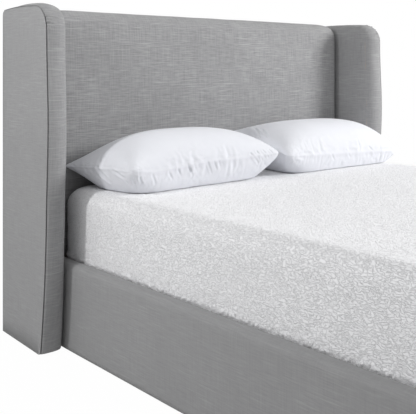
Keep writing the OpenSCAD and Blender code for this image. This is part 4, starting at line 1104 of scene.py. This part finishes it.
def pillowSurface(own):
    # two panels that share their seam, on a grid whose rows crowd together where the cloth turns down to it
    s = pillow
    nu, nv, row = s["stepsLong"], s["stepsDeep"], s["stepsLong"] + 1

    def point(u, v, above):
        x, y = u * s["long"] / 2, v * s["deep"] / 2
        dx, dy, r = s["long"] / 2 - abs(x), s["deep"] / 2 - abs(y), s["corner"]
        if dx < r and dy < r:
            p, q = 1 - dx / r, 1 - dy / r
            x = math.copysign(s["long"] / 2 - r + r * p * math.sqrt(1 - q * q / 2), x)
            y = math.copysign(s["deep"] / 2 - r + r * q * math.sqrt(1 - p * p / 2), y)
        x -= s["draw"] * (1 - v * v) * u
        y -= s["draw"] * (1 - u * u) * v
        a, b = (u + 1) / 2, (v + 1) / 2
        lift, corners = own["lift"], ((1 - a, b), (a, b), (1 - a, 1 - b), (a, 1 - b))
        for far, (p, q) in zip(own["reach"], corners):
            x += far * max(0, p * 3.2 - 2.2) * max(0, q * 1.8 - 0.8)
        seam = sum(high * p * q for high, (p, q) in zip(lift, corners))
        seam -= own["sag"] * math.exp(-((u + s["sagAt"]) / s["sagWide"]) ** 2) * (1 - b) ** 2
        fill = max(0, (1 - abs(u) ** 3.2) * (1 - abs(v) ** 2.6)) ** 0.55
        fill *= (1 - own["slack"] * max(0, -u) ** 2 * 2 * max(0, v) ** 0.8) * s["start"]
        x, y = own["middle"] + x, s["back"] - s["deep"] / 2 + y
        if above:
            return (x, y, s["top"] + seam + fill * (s["thick"] - seam))
        return (x, y, s["top"] + seam - min(fill * s["thick"] * s["under"], seam))

    def crowded(share):
        w = 2 * share - 1
        return math.copysign(1 - (1 - abs(w)) ** s["crowd"], w)

    grid = [(i, j) for j in range(nv + 1) for i in range(nu + 1)]
    rim = [i in (0, nu) or j in (0, nv) for i, j in grid]
    lowIndex, count = [], len(grid)
    for k, onRim in enumerate(rim):
        lowIndex.append(k if onRim else count)
        count += not onRim
    spots = [(crowded(i / nu), crowded(j / nv)) for i, j in grid]
    inset = [min((1 - abs(u)) * s["long"], (1 - abs(v)) * s["deep"]) / 2 for u, v in spots]
    beside = [min(i, nu - i, j, nv - j) == 1 for i, j in grid]
    free = [k for k, onRim in enumerate(rim) if not onRim]
    points = [point(u, v, True) for u, v in spots] + [point(*spots[k], False) for k in free]
    inset += [inset[k] for k in free]
    beside += [beside[k] for k in free]
    faces = []
    for j in range(nv):
        for i in range(nu):
            a, b, c, d = j * row + i, j * row + i + 1, (j + 1) * row + i + 1, (j + 1) * row + i
            faces += [(a, b, c, d), (lowIndex[a], lowIndex[d], lowIndex[c], lowIndex[b])]
    return points, faces, np.array(inset), np.array(beside)


def inflate(piece, own, inset):
    # cloth with a little too much length, sewn to a seam that is a little too short, held by its filling
    s = pillow
    start = pointsOf(piece)
    onSeam = inset < 1e-6
    inside = ramp(inset, 0, s["inside"])
    patchy = softNoise(start, s["patch"], own["seed"])
    firm = (s["hold"][0] + (s["hold"][1] - s["hold"][0]) * inside) / (1 + 0.35 * patchy)
    short = np.where(onSeam, 1, np.clip(s["calm"] * inside - 0.12 * patchy, 0, 1))
    hold, draw = piece.vertex_groups.new(name="hold"), piece.vertex_groups.new(name="draw")
    for k in range(len(start)):
        hold.add([k], min(0.9, firm[k]), "REPLACE")
        draw.add([k], short[k], "REPLACE")
    cloth = piece.modifiers.new("filling", "CLOTH")
    rules = cloth.settings
    rules.quality, rules.mass = s["quality"], s["mass"]
    rules.tension_stiffness = rules.compression_stiffness = rules.shear_stiffness = s["stiff"]
    rules.bending_stiffness = s["bending"]
    rules.use_pressure = True
    rules.uniform_pressure_force = s["pressure"]
    rules.effector_weights.gravity = 0
    rules.vertex_group_shrink, rules.shrink_min, rules.shrink_max = "draw", -s["looser"], s["seamDraw"]
    rules.vertex_group_mass, rules.pin_stiffness = "hold", s["holdForce"]
    cloth.collision_settings.use_collision = False
    cloth.point_cache.frame_start, cloth.point_cache.frame_end = 1, s["frames"]
    for frameNumber in range(1, s["frames"] + 1):
        bpy.context.scene.frame_set(frameNumber)
    applyAll(piece)
    bpy.context.scene.frame_set(1)
    moved = pointsOf(piece) - start
    moved -= moved[np.flatnonzero(onSeam)].mean(0)
    far = np.linalg.norm(moved, axis=1)
    cap = s["seamCap"] + (s["cap"] - s["seamCap"]) * inside
    # the creases stand along the seam and fade out over the upper face
    patches = np.clip(0.42 + 1.7 * softNoise(start * (1, 1, 0.6), s["creasePatch"], own["seed"] + 3.3), 0.10, 1)
    keep = s["calmInside"] + (1 - s["calmInside"]) * np.exp(-(inset / s["creaseReach"]) ** 2) * patches
    setPoints(piece, start + moved * (keep * np.minimum(far, cap) / np.maximum(far, 1e-9))[:, None])
    piece.vertex_groups.clear()


def foldDepth(points, line, width):
    # how strongly a fold along the line pulls each point in; it runs out towards its ends
    line = np.array(line)
    lengths = np.linalg.norm(np.diff(line, axis=0), axis=1)
    total, done = lengths.sum(), 0.0
    nearest, along = np.full(len(points), 9.0), np.zeros(len(points))
    for a, b, length in zip(line[:-1], line[1:], lengths):
        t = np.clip(((points - a) @ (b - a)) / length ** 2, 0, 1)
        gap = np.linalg.norm(points - a - t[:, None] * (b - a), axis=1)
        along = np.where(gap < nearest, (done + t * length) / total, along)
        nearest = np.minimum(nearest, gap)
        done += length
    taper = np.sin(np.pi * np.clip(along * 0.9 + 0.1, 0, 1)) ** 0.5
    beside = np.exp(-((nearest - pillow["shoulderAt"] * width) / width) ** 2)
    return (np.exp(-(nearest / width) ** 2) - pillow["shoulder"] * beside) * taper


def makePillow(name, own, body, node):
    s = pillow
    points, faces, inset, beside = pillowSurface(own)
    piece = newPiece(name, points, faces)
    inflate(piece, own, inset)
    # the sewn edge stands out a little and the stitching beside it pulls in
    pushOut(piece, np.where(inset < 1e-6, s["edge"], np.where(beside, s["beside"], 0)))
    finer = piece.modifiers.new("finer", "SUBSURF")
    finer.levels = finer.render_levels = 1
    applyAll(piece)
    pts = pointsOf(piece)
    for line, depth, width in own["folds"]:
        pushOut(piece, -depth * foldDepth(pts, line, width))
    pts = pointsOf(piece)
    pts[:, 2] = np.maximum(pts[:, 2], s["top"])
    pts[:, 1] = np.minimum(pts[:, 1], s["back"])
    setPoints(piece, pts)
    dress(piece, pillowCotton, body, node)


makePillow("leftPillow", leftPillow, "pillow_left", "left_pillow")
makePillow("rightPillow", rightPillow, "pillow_right", "right_pillow")
print("stage: pillows")

finishes = {      # the frame's own nodes keep their shape and get a better material
    timberZ: ["headboard_left_stile", "headboard_right_stile", "left_wing_frame", "right_wing_frame",
              "centre_legs"],
    timberX: ["headboard_top_rail", "headboard_middle_rail", "headboard_bottom_rail", "footboard_board"],
    timberY: ["left_rail_board", "right_rail_board", "left_rail_cleat", "right_rail_cleat", "centre_beam"],
    slatTimber: [n for n in cadNodes if n.startswith("slat_") and n[-1].isdigit()],
    boardPly: ["headboard_front_board"],
    blackSteel: ["rail_hook_plates", "headboard_slot_plates", "corner_brackets", "beam_hangers"],
    zincSteel: ["wing_bolts", "cleat_screws", "hook_plate_pins", "slot_plate_screws", "corner_screws",
                "hanger_screws", "leg_bolts", "slat_screws"],
    glidePlastic: ["floor_glides", "leg_caps"],
    strapWebbing: ["slat_webbing"],
    backLinen: ["headboard_back_panel"],
}
for material, names in finishes.items():
    for name in names:
        slots = cadNodes[name].material_slots
        if not len(slots):
            cadNodes[name].data.materials.append(material)
        for slot in slots:
            slot.material = material
print("stage: finishes of the frame")

room = {
    "floor": 60.0, "floorDrop": 0.0005, "floorColour": 0.80, "floorRough": 0.9,
    "seen": 0.985,           # how much of the floor's picture is plain white near the bed
    "shadowNear": 1.6, "shadowFar": 4.5,
    "sky": 0.45,
    "lamps": (               # name, place, aim, power, width and height
        ("keyLamp", (4.6, -2.6, 2.9), (0.0, 0.6, 0.7), 300.0, 1.8, 1.8),
        ("aboveLamp", (-2.0, 0.2, 3.6), (-0.6, 0.2, 0.5), 12.0, 1.2, 1.2),
        ("leftLamp", (-2.6, 0.79, 1.9), (-0.8, 0.3, 0.6), 20.0, 0.15, 0.3),
    ),
}


def makeFloor():
    # white to the camera but for the bed's shadow, and a plain pale floor for the light
    deselectAll()
    bpy.ops.mesh.primitive_plane_add(size=room["floor"], location=(0, 0, -room["floorDrop"]))
    floor = bpy.context.active_object
    floor.name = "studioFloor"
    r = newRecipe("studioFloor")
    away = r.node("ShaderNodeVectorMath", operation="LENGTH")
    r.join(r.place(), away.inputs[0])
    fade = r.spread(away.outputs["Value"], room["shadowNear"], room["shadowFar"], room["seen"], 1.0)
    real = r.cover((room["floorColour"],) * 3 + (1,), room["floorRough"])
    plain = r.white("ShaderNodeEmission", 1.0)
    floor.data.materials.append(r.show(r.either(r.math("MULTIPLY", r.whenSeen(), fade), real, plain)))


def makeWorld():
    world = bpy.data.worlds.new("studio")
    bpy.context.scene.world = world
    r = Recipe(world, "World")
    sky, plain = (r.white("ShaderNodeBackground", strength) for strength in (room["sky"], 1.0))
    r.show(r.either(r.whenSeen(), sky, plain))


def lamp(name, place, aim, power, width, height):
    data = bpy.data.lights.new(name, "AREA")
    data.shape = "RECTANGLE"
    data.size, data.size_y = width, height
    data.energy = power
    made = bpy.data.objects.new(name, data)
    made.location = place
    made.rotation_euler = (Vector(aim) - Vector(place)).to_track_quat("-Z", "Y").to_euler()
    bpy.context.scene.collection.objects.link(made)


makeFloor()
makeWorld()
for row in room["lamps"]:
    lamp(*row)
print("stage: room and light")
